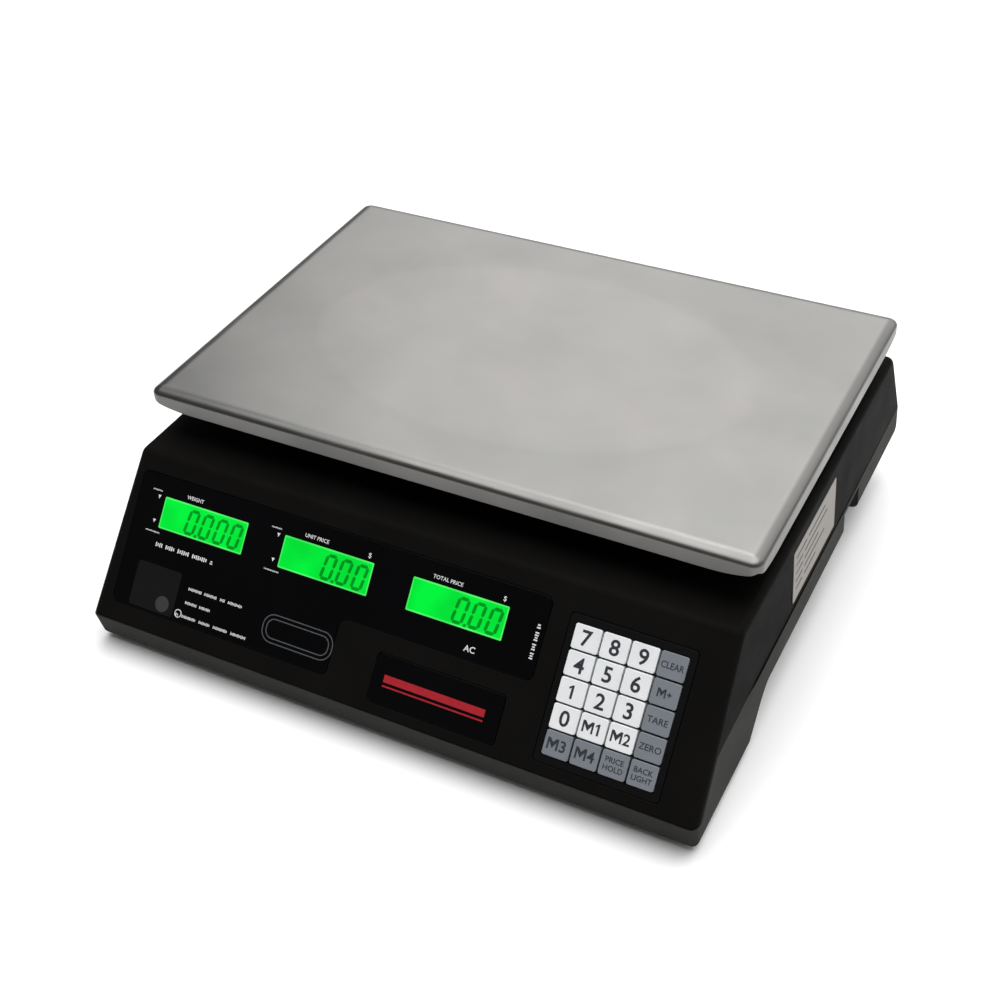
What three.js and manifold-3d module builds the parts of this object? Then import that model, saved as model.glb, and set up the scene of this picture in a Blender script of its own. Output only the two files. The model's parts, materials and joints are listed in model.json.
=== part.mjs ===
// Counter scale that weighs goods and works out their price: a stainless platter on a cast
// carrier and a single-point load cell, in a two-part moulded housing with a sloping front panel
// that holds three displays and a key pad, and a second set of displays at the back.
// Millimetres, +Z up, the front towards -Y. The origin is on the table under the middle.
import * as THREE from "three";
import { mergeVertices } from "three/addons/utils/BufferGeometryUtils.js";
import Module from "manifold-3d";

const wasm = await Module();
wasm.setup();

// ---------------------------------------------------------------- driving dimensions
const GAP = 0.3; // between pieces that seat on each other
const PLATTER = { width: 340, depth: 225, lip: 11, sheet: 0.8, corner: 5, bend: 1.2, rise: 28 };
const BODY = {
  sideMargin: 3, // housing beyond the platter at each side
  apron: 75.25, // housing in front of the platter
  rearMargin: 24.75, // housing behind the platter
  deck: 91, // table to deck
  underside: 4, // table to the housing's floor
  wall: 2.6,
  draftRun: 3.8, // how far each side wall leans in by the deck
  edge: 4, // rounding of the edges along the side walls
  panelRun: 60, // front panel, ridge to front, seen from above
  chin: 15.2, // height of the upright lip under the front panel
  chinRun: 3.5, // how far the chin leans in at its foot
  rearRun: 21.1, // rear panel, seen from above
  rearHeight: 45.5, // table to the foot of the rear panel
  skirt: 26, // table to the lower edge of the side and rear walls
  plinthInset: 14, // finger room under the side and rear walls
  plinthCorner: 10,
  cheek: 74.5, // front part of the side walls that reaches the floor
  cheekRun: 18, // slope behind it, up to the skirt
};
const PARTING = { rear: 47, front: 42.6, panelEdge: 8, joint: 0.8, tongue: 1.2, tongueRise: 2.5 };
const LCD = { width: 53, height: 17, border: 3.5, glass: 4.5, backlight: 5, corner: 0.6 };
const FRONT_WINDOW = {
  sideMargin: 8, fromKeys: 10, top: 10.3, narrow: 42.1, tall: 72.7, tallWidth: 135, corner: 4,
  sheet: 1, firstLcd: 43.4, lastLcd: 47, lcdTop: 19.45,
};
const REAR_WINDOW = { width: 250, top: 7, height: 31, corner: 4, sheet: 1, lcdPitch: 80, lcdTop: 7 };
const KEYS = {
  columns: 4, rows: 5, pitchX: 14.42, pitchY: 13.02, gapBetween: 0.92, corner: 1.1, edge: 0.35,
  height: 4.2, proud: 0.3, travel: 0.6, marginX: 3.4, marginY: 3.95, top: 14, sideMargin: 18.5,
  frame: 1.2, ledge: 2, board: 1.6,
};
const BADGE = { width: 71.3, height: 25.5, top: 62, fromKeys: 20, corner: 2.5, sheet: 1 };
const BOARD = 1.6; // circuit board thickness
const CARRIER = { plate: 6, overDeck: 6, bar: 40, crossBar: 24, reachX: 110, reachY: 70, rib: 5 };
const CUSHION = { radius: 9, dimple: 4 };
const LOAD_CELL = { length: 130, width: 30, height: 22, overFloor: 20, clamp: 35, bore: 7 };
const SPACER = { length: 30, width: 26, play: 5 };
const FOOT = { disc: 14, stud: 4, length: 22, insetX: 35, insetFront: 44.5, insetRear: 40.5, boss: 8 };
const SCREW = {
  head: 3.5, headHeight: 2.4, shank: 1.5, length: 12, post: 4.5, cup: 6,
  frontInsetX: 13, frontInsetY: 42.5, rearX: 100, rearInsetY: 40,
};
const BATTERY = { width: 70, depth: 100, height: 47, x: -115, y: -10, play: 1, rebate: 3 };
const MAIN_BOARD = { width: 76, depth: 120, x: 110, y: -15, overFloor: 9, post: 3, postInset: 6 };
const TRANSFORMER = { width: 50, depth: 42, height: 36, coil: 9, x: 95, y: 95 };
const SWITCH = { length: 21, height: 15, wall: 1.3, flange: 1.5, sheet: 1.6, depth: 14, centre: 24 };
const ROCKER = { play: 0.7, depth: 6, stand: 2, tilt: THREE.MathUtils.degToRad(8), pivot: 0.8 };
const NOTCH = { length: 26, fromRear: 80.5, top: 41 };
const INLET = { width: 23, height: 11, flange: 2, sheet: 2, depth: 18, socket: 13, wall: 2, x: 60 };
const LEVEL = { radius: 7, flange: 2, sheet: 1.2, depth: 8, x: 24, y: 42 };
const LABEL = { length: 67, height: 32, sheet: 0.3, recess: 0.5, y: 2, overParting: 2 };

// ---------------------------------------------------------------- places that follow
const halfWidth = PLATTER.width / 2 + BODY.sideMargin;
const halfDepth = (PLATTER.depth + BODY.apron + BODY.rearMargin) / 2;
const platterY = (BODY.apron - BODY.rearMargin) / 2;
const platterTop = BODY.deck + PLATTER.rise;
const floorTop = BODY.underside + BODY.wall;
const chinTop = BODY.underside + BODY.chin;
const ridgeY = BODY.panelRun - halfDepth;
const panelAngle = Math.atan2(BODY.deck - chinTop, BODY.panelRun);
const rearAngle = Math.atan2(BODY.deck - BODY.rearHeight, BODY.rearRun);
const draftAngle = Math.atan2(BODY.draftRun, BODY.deck - BODY.skirt);
const panelHalf = halfWidth - BODY.draftRun / 2;
const backWidth = LCD.width + 2 * LCD.border;
const backHeight = LCD.height + 2 * LCD.border;
const plinthHalf = halfWidth - BODY.plinthInset;
const windowSeat = FRONT_WINDOW.sheet + GAP;
const keyWidth = KEYS.pitchX - KEYS.gapBetween;
const keyHeight = KEYS.pitchY - KEYS.gapBetween;
const keyFieldWidth = KEYS.columns * KEYS.pitchX;
const keyFieldHeight = KEYS.rows * KEYS.pitchY;
const keypadWidth = keyFieldWidth + 2 * KEYS.marginX;
const keypadHeight = keyFieldHeight + 2 * KEYS.marginY;
const keypadX = panelHalf - KEYS.sideMargin - keypadWidth / 2;
const keypadSlope = KEYS.top + keypadHeight / 2;
const badgeX = keypadX - keypadWidth / 2 - BADGE.fromKeys - BADGE.width / 2;
const badgeSlope = BADGE.top + BADGE.height / 2;
const windowLeft = FRONT_WINDOW.sideMargin - panelHalf;
const windowRight = keypadX - keypadWidth / 2 - FRONT_WINDOW.fromKeys;
const firstLcdX = windowLeft + FRONT_WINDOW.firstLcd;
const lcdPitch = (windowRight - FRONT_WINDOW.lastLcd - firstLcdX) / 2;
const carrierBottom = BODY.deck + CARRIER.overDeck;
const carrierTop = carrierBottom + CARRIER.plate;
const cellBottom = BODY.underside + LOAD_CELL.overFloor;
const cellTop = cellBottom + LOAD_CELL.height;
const spacerX = LOAD_CELL.length / 2 - LOAD_CELL.clamp / 2;
const notchY = halfDepth - NOTCH.fromRear - NOTCH.length / 2;
const footY = [FOOT.insetFront - halfDepth, halfDepth - FOOT.insetRear];
const screwSpots = [-1, 1].flatMap((side) => [
  [side * (halfWidth - SCREW.frontInsetX), SCREW.frontInsetY - halfDepth],
  [side * SCREW.rearX, halfDepth - SCREW.rearInsetY],
]);
const farOut = halfWidth + halfDepth; // longer than anything that it has to cut through

// ---------------------------------------------------------------- materials
function finish(color, roughness, metalness = 0) {
  return new THREE.MeshStandardMaterial({ color, roughness, metalness });
}
const housingBlack = finish(0x1b1b1c, 0.5);
const baseBlack = finish(0x2a2a2b, 0.55);
const windowBlack = finish(0x0a0a0b, 0.15);
const stainless = finish(0xa9a6a2, 0.38, 1);
const castMetal = finish(0xa3a5a8, 0.5, 1);
const aluminium = finish(0xb9bcc0, 0.4, 1);
const zinc = finish(0x8f9296, 0.4, 1);
const rubber = finish(0x202020, 0.85);
const keyWhite = finish(0xe8e9ea, 0.45);
const keyGrey = finish(0x8b9196, 0.45);
const lcdGreen = finish(0x12dc3c, 0.25);
const boardGreen = finish(0x14532f, 0.5);
const batteryGrey = finish(0x55585c, 0.5);
const steelCore = finish(0x6d6f72, 0.55, 1);
const plasticBlack = finish(0x141414, 0.4);
const levelClear = finish(0xb8d64a, 0.1);
const labelWhite = finish(0xe4e4e2, 0.6);

// ---------------------------------------------------------------- shapes
function box(x0, x1, y0, y1, z0, z1) {
  const shape = new THREE.BoxGeometry(x1 - x0, y1 - y0, z1 - z0);
  return shape.translate((x0 + x1) / 2, (y0 + y1) / 2, (z0 + z1) / 2);
}

// An upright box by its middle in plan and its two heights.
function block(x, y, width, depth, z0, z1) {
  return box(x - width / 2, x + width / 2, y - depth / 2, y + depth / 2, z0, z1);
}

function rod(x, y, radius, z0, z1, sides = 20) {
  const shape = new THREE.CylinderGeometry(radius, radius, z1 - z0, sides);
  return shape.rotateX(Math.PI / 2).translate(x, y, (z0 + z1) / 2);
}

// An outline of straight stretches whose corners, given as [x, y, radius], are rounded.
function outline(corners) {
  const points = corners.map(([x, y]) => new THREE.Vector2(x, y));
  const shape = new THREE.Shape();
  corners.forEach(([, , radius = 0], i) => {
    const corner = points[i];
    const before = points[(i + points.length - 1) % points.length].clone().sub(corner).normalize();
    const after = points[(i + 1) % points.length].clone().sub(corner).normalize();
    const reach = radius / Math.tan(Math.acos(before.dot(after)) / 2);
    const start = corner.clone().addScaledVector(before, reach);
    const end = corner.clone().addScaledVector(after, reach);
    if (i === 0) shape.moveTo(start.x, start.y);
    else shape.lineTo(start.x, start.y);
    if (radius > 0) shape.quadraticCurveTo(corner.x, corner.y, end.x, end.y);
  });
  return shape;
}

function rectangle(width, height, radius, x = 0, y = 0) {
  const w = width / 2;
  const h = height / 2;
  return outline([
    [x - w, y - h, radius], [x + w, y - h, radius], [x + w, y + h, radius], [x - w, y + h, radius],
  ]);
}

// A sheet of the outline from z0 to z1, with its rims rounded by the edge value.
function sheet(shape, z0, z1, edge = 0, curveSegments = 4) {
  const geometry = new THREE.ExtrudeGeometry(shape, {
    depth: z1 - z0 - 2 * edge, curveSegments, bevelEnabled: edge > 0, bevelThickness: edge,
    bevelSize: edge, bevelOffset: -edge, bevelSegments: edge > 1 ? 3 : 1,
  });
  return geometry.translate(0, 0, z0 + edge);
}

// Corners moved in by the inset along both edges that meet there. Outlines run anticlockwise.
function insetCorners(corners, inset) {
  const edges = corners.map(([x, y], i) => {
    const [nextX, nextY] = corners[(i + 1) % corners.length];
    const along = new THREE.Vector2(nextX - x, nextY - y).normalize();
    return { along, inward: new THREE.Vector2(-along.y, along.x) };
  });
  return corners.map(([x, y, radius = 0], i) => {
    const a = edges[(i + corners.length - 1) % corners.length];
    const b = edges[i];
    const share = inset / (1 + a.inward.dot(b.inward));
    const convex = a.along.cross(b.along) > 0;
    return [
      x + (a.inward.x + b.inward.x) * share,
      y + (a.inward.y + b.inward.y) * share,
      radius > 0 ? Math.max(radius + (convex ? -inset : inset), 0.5) : 0,
    ];
  });
}

// A closed profile in Y and Z, carried across the part along X.
function across(shape, half, edge = 0) {
  const geometry = sheet(shape, -half, half, edge);
  const turn = new THREE.Matrix4().makeBasis(
    new THREE.Vector3(0, 1, 0), new THREE.Vector3(0, 0, 1), new THREE.Vector3(1, 0, 0),
  );
  return geometry.applyMatrix4(turn);
}

// ---------------------------------------------------------------- solids, to join and cut
function solid(geometry, matrix = new THREE.Matrix4()) {
  const bare = geometry.clone().applyMatrix4(matrix);
  bare.deleteAttribute("normal");
  bare.deleteAttribute("uv");
  const merged = mergeVertices(bare, 1e-4);
  return new wasm.Manifold(new wasm.Mesh({
    numProp: 3,
    vertProperties: new Float32Array(merged.attributes.position.array),
    triVerts: new Uint32Array(merged.index.array),
  }));
}

function joined(solids) {
  return solids.reduce((sum, next) => sum.add(next));
}

function cut(body, tools) {
  return tools.reduce((rest, tool) => rest.subtract(tool), body);
}

function surface(manifold) {
  const { vertProperties, triVerts } = manifold.getMesh();
  const geometry = new THREE.BufferGeometry();
  geometry.setAttribute("position", new THREE.BufferAttribute(vertProperties, 3));
  geometry.setIndex(new THREE.BufferAttribute(triVerts, 1));
  geometry.computeVertexNormals();
  return geometry;
}

// ---------------------------------------------------------------- frames of the sloping faces
function frameOf(origin, xAxis, yAxis, zAxis) {
  const group = new THREE.Group();
  group.applyMatrix4(new THREE.Matrix4().makeBasis(xAxis, yAxis, zAxis).setPosition(origin));
  group.updateMatrix();
  return group;
}
// In each frame X runs to the reader's right, Y up the slope and Z out of the face.
const scale = new THREE.Group();
const frontPanel = frameOf(
  new THREE.Vector3(0, ridgeY, BODY.deck),
  new THREE.Vector3(1, 0, 0),
  new THREE.Vector3(0, Math.cos(panelAngle), Math.sin(panelAngle)),
  new THREE.Vector3(0, -Math.sin(panelAngle), Math.cos(panelAngle)),
);
const rearPanel = frameOf(
  new THREE.Vector3(0, halfDepth - BODY.rearRun, BODY.deck),
  new THREE.Vector3(-1, 0, 0),
  new THREE.Vector3(0, -Math.cos(rearAngle), Math.sin(rearAngle)),
  new THREE.Vector3(0, Math.sin(rearAngle), Math.cos(rearAngle)),
);
const rightWall = frameOf(
  new THREE.Vector3(halfWidth, 0, BODY.skirt),
  new THREE.Vector3(0, 1, 0),
  new THREE.Vector3(-Math.sin(draftAngle), 0, Math.cos(draftAngle)),
  new THREE.Vector3(Math.cos(draftAngle), 0, Math.sin(draftAngle)),
);
// The switch stands in the plinth's side, inside the notch: X along the body, Z outwards.
const switchSeat = frameOf(
  new THREE.Vector3(plinthHalf, notchY, SWITCH.centre),
  new THREE.Vector3(0, 1, 0), new THREE.Vector3(0, 0, 1), new THREE.Vector3(1, 0, 0),
);
const inletSeat = frameOf(
  new THREE.Vector3(INLET.x, halfDepth - BODY.plinthInset, (floorTop + BODY.skirt) / 2),
  new THREE.Vector3(-1, 0, 0), new THREE.Vector3(0, 0, 1), new THREE.Vector3(0, 1, 0),
);
const platform = new THREE.Group();
scale.add(frontPanel, rearPanel, rightWall, switchSeat, inletSeat, platform);

function piece(name, geometry, material, group = scale) {
  const mesh = new THREE.Mesh(geometry, material);
  mesh.name = name;
  group.add(mesh);
  return mesh;
}

// ---------------------------------------------------------------- housing
// Side view of the housing, anticlockwise: chin, floor, cheek, skirt, rear, deck and front panel.
const sideView = [
  [BODY.chinRun - halfDepth, BODY.underside, 0],
  [BODY.cheek - halfDepth, BODY.underside, 0],
  [BODY.cheek + BODY.cheekRun - halfDepth, BODY.skirt, 14],
  [halfDepth, BODY.skirt, 7],
  [halfDepth, BODY.rearHeight, 0],
  [halfDepth - BODY.rearRun, BODY.deck, 8],
  [ridgeY, BODY.deck, 6],
  [-halfDepth, chinTop, 0],
];

function bodySolid(inset) {
  const shape = outline(insetCorners(sideView, inset));
  const edge = Math.max(BODY.edge - inset, 1);
  const geometry = across(shape, halfWidth - inset, edge);
  const place = geometry.attributes.position;
  const lean = BODY.draftRun / (BODY.deck - BODY.skirt);
  for (let i = 0; i < place.count; i += 1) {
    const fromSkirt = Math.max(place.getZ(i) - BODY.skirt, 0);
    const narrowing = (lean * fromSkirt) / halfWidth;
    place.setX(i, place.getX(i) * (1 - narrowing));
  }
  return solid(geometry);
}

function plinthSolid(inset) {
  const y0 = BODY.cheek / 2 - halfDepth + inset;
  const y1 = halfDepth - BODY.plinthInset - inset;
  const plan = rectangle(
    2 * (plinthHalf - inset), y1 - y0, BODY.plinthCorner - inset, 0, (y0 + y1) / 2,
  );
  return solid(sheet(plan, BODY.underside + inset, BODY.skirt + BODY.wall + BODY.edge + inset));
}

// The notch in the right skirt, grown by a wall where the housing has to line it.
function notchSolid(wall) {
  const half = NOTCH.length / 2 + wall;
  return solid(box(
    plinthHalf - wall, farOut, notchY - half, notchY + half, -farOut, NOTCH.top + wall,
  ));
}

// Everything above or below the joint between the two shells, shifted by half of its width.
function partingSide(sign) {
  const shift = (sign * PARTING.joint) / 2;
  const edgeY = (z) => ridgeY + PARTING.panelEdge - (BODY.deck - z) / Math.tan(panelAngle);
  const far = sign * farOut;
  const line = [
    [farOut, PARTING.rear + shift],
    [edgeY(PARTING.front), PARTING.front + shift],
    [edgeY(chinTop), chinTop + PARTING.joint / 2 + shift],
    [-farOut, chinTop + PARTING.joint / 2 + shift],
    [-farOut, far],
    [farOut, far],
  ];
  return solid(across(outline(sign > 0 ? line.toReversed().map(([y, z]) => [y, z]) : line), farOut));
}

const outerBody = joined([bodySolid(0), plinthSolid(0)]).subtract(notchSolid(0));
const cavity = joined([bodySolid(BODY.wall), plinthSolid(BODY.wall)])
  .subtract(notchSolid(BODY.wall));
const shell = outerBody.subtract(cavity);

// A plate and its seat in the front panel: the L of the front window, right side up.
function frontWindowShape(play) {
  const left = windowLeft + play;
  const right = windowRight - play;
  const step = windowLeft + FRONT_WINDOW.tallWidth - play;
  const top = -FRONT_WINDOW.top - play;
  const low = top + 2 * play - FRONT_WINDOW.narrow;
  const lowest = top + 2 * play - FRONT_WINDOW.tall;
  const r = FRONT_WINDOW.corner;
  return outline([
    [left, lowest, r], [step, lowest, r], [step, low, r], [right, low, r], [right, top, r],
    [left, top, r],
  ]);
}

const rearWindowShape = (play) => rectangle(
  REAR_WINDOW.width - 2 * play, REAR_WINDOW.height - 2 * play, REAR_WINDOW.corner,
  0, -REAR_WINDOW.top - REAR_WINDOW.height / 2,
);

const frontLcds = [0, 1, 2].map((i) => [
  firstLcdX + i * lcdPitch,
  -FRONT_WINDOW.top - FRONT_WINDOW.lcdTop,
]);
const rearLcds = [-1, 0, 1].map((i) => [
  i * REAR_WINDOW.lcdPitch, -REAR_WINDOW.top - REAR_WINDOW.lcdTop - LCD.height / 2,
]);

// Through cut-outs for the displays, wider than the glass by the play.
function lcdCuts(places, play) {
  return places.map(([x, y]) => sheet(
    rectangle(LCD.width + 2 * play, LCD.height + 2 * play, LCD.corner, x, y), -farOut / 20, 10,
  ));
}

function frontTools() {
  const seats = [
    sheet(frontWindowShape(0), -windowSeat, 10),
    sheet(rectangle(keypadWidth, keypadHeight, 2, keypadX, -keypadSlope), -KEYS.frame - GAP, 10),
    sheet(
      rectangle(keypadWidth - 2 * KEYS.ledge, keypadHeight - 2 * KEYS.ledge, 1, keypadX, -keypadSlope),
      -10, 10,
    ),
    sheet(rectangle(BADGE.width, BADGE.height, BADGE.corner, badgeX, -badgeSlope), -windowSeat, 10),
    ...lcdCuts(frontLcds, 1),
  ];
  return seats.map((tool) => solid(tool, frontPanel.matrix));
}

function rearTools() {
  const seats = [sheet(rearWindowShape(0), -windowSeat, 10), ...lcdCuts(rearLcds, 1)];
  return seats.map((tool) => solid(tool, rearPanel.matrix));
}

const levelX = LEVEL.x - halfWidth;
const levelY = platterY - PLATTER.depth / 2 + LEVEL.y;
const labelPlace = [LABEL.y, PARTING.rear + LABEL.overParting - BODY.skirt + LABEL.height / 2];

function upperHousing() {
  const above = shell.intersect(partingSide(1));
  const postRoom = bodySolid(BODY.wall - 0.6);
  const postFoot = floorTop + SCREW.headHeight + 1;
  const posts = screwSpots.map(([x, y]) => (
    solid(rod(x, y, SCREW.post, postFoot, platterTop, 14)).intersect(postRoom)
  ));
  const postHoles = screwSpots.map(([x, y]) => (
    solid(rod(x, y, SCREW.shank + GAP, 0, floorTop + SCREW.length + 2, 10))
  ));
  const deckHoles = [
    solid(block(
      spacerX, platterY, SPACER.length + 2 * SPACER.play, SPACER.width + 2 * SPACER.play,
      BODY.deck - 3 * BODY.wall, BODY.deck + BODY.wall,
    )),
    solid(rod(levelX, levelY, LEVEL.radius + GAP, BODY.deck - 3 * BODY.wall, platterTop, 20)),
  ];
  const labelSeat = solid(
    sheet(rectangle(LABEL.length + 2 * GAP, LABEL.height + 2 * GAP, 1, ...labelPlace),
      -LABEL.recess, 5),
    rightWall.matrix,
  );
  const body = joined([above, ...posts]);
  return cut(body, [...postHoles, ...deckHoles, ...frontTools(), ...rearTools(), labelSeat]);
}

// The tongue stands up inside the joint at the sides and the rear, so that no light gets in.
function tongue() {
  const band = (low, high) => solid(box(
    -farOut, farOut, ridgeY, farOut, PARTING.rear + low, PARTING.rear + high,
  ));
  const drop = PARTING.front - PARTING.rear;
  const outerFace = BODY.wall + GAP;
  const core = bodySolid(outerFace + PARTING.tongue);
  const root = bodySolid(BODY.wall - 0.6).subtract(core).intersect(band(drop - 4, drop - 1));
  const blade = bodySolid(outerFace).subtract(core).intersect(band(drop - 3, PARTING.tongueRise));
  return root.add(blade);
}

function lowerHousing() {
  const below = shell.intersect(partingSide(-1));
  const footSpots = [-1, 1].flatMap((side) => (
    footY.map((y) => [side * (halfWidth - FOOT.insetX), y])
  ));
  const boardPosts = [-1, 1].flatMap((sx) => [-1, 1].map((sy) => [
    MAIN_BOARD.x + sx * (MAIN_BOARD.width / 2 - MAIN_BOARD.postInset),
    MAIN_BOARD.y + sy * (MAIN_BOARD.depth / 2 - MAIN_BOARD.postInset),
  ]));
  const inside = BODY.underside + BODY.wall / 2;
  const body = joined([
    below,
    tongue(),
    ...footSpots.map(([x, y]) => solid(rod(x, y, FOOT.boss, inside, floorTop + 9, 16))),
    ...screwSpots.map(([x, y]) => (
      solid(rod(x, y, SCREW.cup, inside, floorTop + SCREW.headHeight + 1 - GAP, 14))
    )),
    ...boardPosts.map(([x, y]) => (
      solid(rod(x, y, MAIN_BOARD.post, inside, floorTop + MAIN_BOARD.overFloor - GAP, 10))
    )),
    solid(block(
      LOAD_CELL.clamp / 2 - LOAD_CELL.length / 2, platterY, LOAD_CELL.clamp, LOAD_CELL.width,
      inside, cellBottom - GAP,
    )),
  ]);
  const hatch = (grow) => [
    BATTERY.x, BATTERY.y, BATTERY.width + 2 * (BATTERY.play + grow),
    BATTERY.depth + 2 * (BATTERY.play + grow),
  ];
  return cut(body, [
    ...footSpots.map(([x, y]) => solid(rod(x, y, FOOT.stud + GAP, 0, farOut, 16))),
    ...screwSpots.map(([x, y]) => (
      solid(rod(x, y, SCREW.head + GAP, 0, floorTop + GAP, 14))
    )),
    ...screwSpots.map(([x, y]) => solid(rod(x, y, SCREW.shank + GAP, 0, farOut / 10, 10))),
    solid(block(...hatch(0), 0, floorTop + GAP)),
    solid(block(...hatch(BATTERY.rebate), 0, BODY.underside + BODY.wall * 0.6)),
    solid(sheet(rectangle(SWITCH.length + 2 * GAP, SWITCH.height + 2 * GAP, 1), -10, 10),
      switchSeat.matrix),
    solid(sheet(rectangle(INLET.width + 2 * GAP, INLET.height + 2 * GAP, 3), -10, 10),
      inletSeat.matrix),
  ]);
}

function housing() {
  piece("upper_housing", surface(upperHousing()), housingBlack);
  piece("lower_housing", surface(lowerHousing()), baseBlack);
  const corners = ["front_left", "rear_left", "front_right", "rear_right"];
  corners.forEach((name, i) => {
    const [x, y] = screwSpots[i];
    const top = floorTop - GAP / 2;
    const head = solid(rod(x, y, SCREW.head, top - SCREW.headHeight, top, 12));
    const shank = solid(rod(x, y, SCREW.shank, top - 1, top + SCREW.length, 8));
    piece(`housing_screw_${name}`, surface(head.add(shank)), zinc);
  });
  const label = sheet(rectangle(LABEL.length, LABEL.height, 1, ...labelPlace), 0, LABEL.sheet);
  piece("side_label", label.translate(0, 0, GAP - LABEL.recess), labelWhite, rightWall);
}

// ---------------------------------------------------------------- feet
function feet() {
  const rim = BODY.underside - GAP;
  const profile = [
    [0, 0], [FOOT.disc - 1, 0], [FOOT.disc, 1], [FOOT.disc, rim - 1], [FOOT.disc - 1, rim],
    [FOOT.stud, rim], [FOOT.stud, FOOT.length], [0, FOOT.length],
  ].map(([r, z]) => new THREE.Vector2(r, z));
  const places = { left: -1, right: 1 };
  Object.entries(places).forEach(([side, sign]) => {
    ["front", "rear"].forEach((end, i) => {
      const geometry = new THREE.LatheGeometry(profile, 16).rotateX(Math.PI / 2);
      const foot = piece(`${end}_${side}_foot`, geometry, rubber);
      foot.position.set(sign * (halfWidth - FOOT.insetX), footY[i], 0);
    });
  });
}

// ---------------------------------------------------------------- displays
function displayModule(x, y) {
  const front = -windowSeat - GAP;
  const glass = sheet(rectangle(LCD.width, LCD.height, LCD.corner, x, y), front - LCD.glass, front);
  const back = block(
    x, y, backWidth, backHeight, front - LCD.glass - LCD.backlight, front - LCD.glass + 0.5,
  );
  return surface(solid(glass).add(solid(back)));
}
const moduleBack = -windowSeat - GAP - LCD.glass - LCD.backlight;

// A circuit board with its parts, each part given as [x, y, width, depth, height].
function circuitBoard(x, y, width, depth, parts) {
  const bare = solid(block(x, y, width, depth, 0, BOARD));
  const fitted = parts.map(([px, py, w, d, h]) => solid(block(px, py, w, d, -h, BOARD / 2)));
  return joined([bare, ...fitted]);
}

function displays() {
  const names = ["weight", "unit_price", "total_price"];
  const lcdSheet = (shape, places, low, high) => (
    cut(solid(sheet(shape, low, high)), lcdCuts(places, 0).map((tool) => solid(tool)))
  );
  const low = GAP - windowSeat;
  const front = lcdSheet(frontWindowShape(GAP), frontLcds, low, low + FRONT_WINDOW.sheet);
  piece("front_display_window", surface(front), windowBlack, frontPanel);
  const rear = lcdSheet(rearWindowShape(GAP), rearLcds, low, low + REAR_WINDOW.sheet);
  piece("rear_display_window", surface(rear), windowBlack, rearPanel);
  names.forEach((name, i) => {
    piece(`front_${name}_display`, displayModule(...frontLcds[i]), lcdGreen, frontPanel);
    piece(`rear_${name}_display`, displayModule(...rearLcds[i]), lcdGreen, rearPanel);
  });
  const boards = [
    ["front_display_board", frontPanel, frontLcds, lcdPitch],
    ["rear_display_board", rearPanel, rearLcds, REAR_WINDOW.lcdPitch],
  ];
  boards.forEach(([name, group, places, pitch]) => {
    const [x, y] = places[1];
    const parts = [[x - 30, y, 14, 10, 2.5], [x + 34, y - 4, 20, 5, 6], [x + 70, y, 8, 8, 2]];
    const board = circuitBoard(x, y, 2 * pitch + backWidth, backHeight + 4, parts);
    const mesh = piece(name, surface(board), boardGreen, group);
    mesh.position.z = moduleBack - GAP - BOARD;
  });
  const badge = sheet(
    rectangle(BADGE.width - 2 * GAP, BADGE.height - 2 * GAP, BADGE.corner, badgeX, -badgeSlope),
    low, low + BADGE.sheet,
  );
  piece("badge_plate", badge, windowBlack, frontPanel);
}

// ---------------------------------------------------------------- key pad
// Row by row from the top: the figures, then the memory and function keys.
const keyNames = [
  ["key_7", "key_8", "key_9", "key_clear"],
  ["key_4", "key_5", "key_6", "key_add"],
  ["key_1", "key_2", "key_3", "key_tare"],
  ["key_0", "key_memory_1", "key_memory_2", "key_zero"],
  ["key_memory_3", "key_memory_4", "key_price_hold", "key_light"],
];

function keypad() {
  const frameTop = -GAP / 3;
  const plate = rectangle(
    keypadWidth - 2 * GAP, keypadHeight - 2 * GAP, 2, keypadX, -keypadSlope,
  );
  const window = rectangle(keyFieldWidth, keyFieldHeight, KEYS.corner, keypadX, -keypadSlope);
  const frame = solid(sheet(plate, frameTop - KEYS.frame, frameTop)).subtract(
    solid(sheet(window, -10, 10)),
  );
  piece("keypad_frame", surface(frame), plasticBlack, frontPanel);
  const keyBottom = KEYS.proud - KEYS.height;
  keyNames.forEach((row, j) => {
    row.forEach((name, i) => {
      const grey = i === KEYS.columns - 1 || j === KEYS.rows - 1;
      const cap = sheet(
        rectangle(keyWidth, keyHeight, KEYS.corner), keyBottom, KEYS.proud, KEYS.edge, 2,
      );
      const key = piece(name, cap, grey ? keyGrey : keyWhite, frontPanel);
      key.position.x = keypadX + (i + 0.5 - KEYS.columns / 2) * KEYS.pitchX;
      key.position.y = -keypadSlope - (j + 0.5 - KEYS.rows / 2) * KEYS.pitchY;
    });
  });
  const boardTop = keyBottom - KEYS.travel - GAP;
  const board = block(
    keypadX, -keypadSlope, keypadWidth - 2 * KEYS.ledge - 1, keypadHeight - 2 * KEYS.ledge - 1,
    boardTop - KEYS.board, boardTop,
  );
  piece("keypad_board", board, boardGreen, frontPanel);
}

// ---------------------------------------------------------------- platter and its carrier
function platterPan() {
  const pan = (inset, z0, z1, edge) => solid(sheet(
    rectangle(
      PLATTER.width - 2 * inset, PLATTER.depth - 2 * inset, PLATTER.corner - inset, 0, platterY,
    ),
    z0, z1, edge,
  ));
  const foot = platterTop - PLATTER.lip;
  // The rounded rim stays at the top only: the lower half of the outer block is cut away.
  const outer = pan(0, foot - PLATTER.lip, platterTop, PLATTER.bend);
  const trimmed = outer.subtract(solid(box(
    -farOut, farOut, -farOut, farOut, foot - 2 * PLATTER.lip, foot,
  )));
  return trimmed.subtract(pan(PLATTER.sheet, foot - 1, platterTop - PLATTER.sheet, 0));
}

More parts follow.
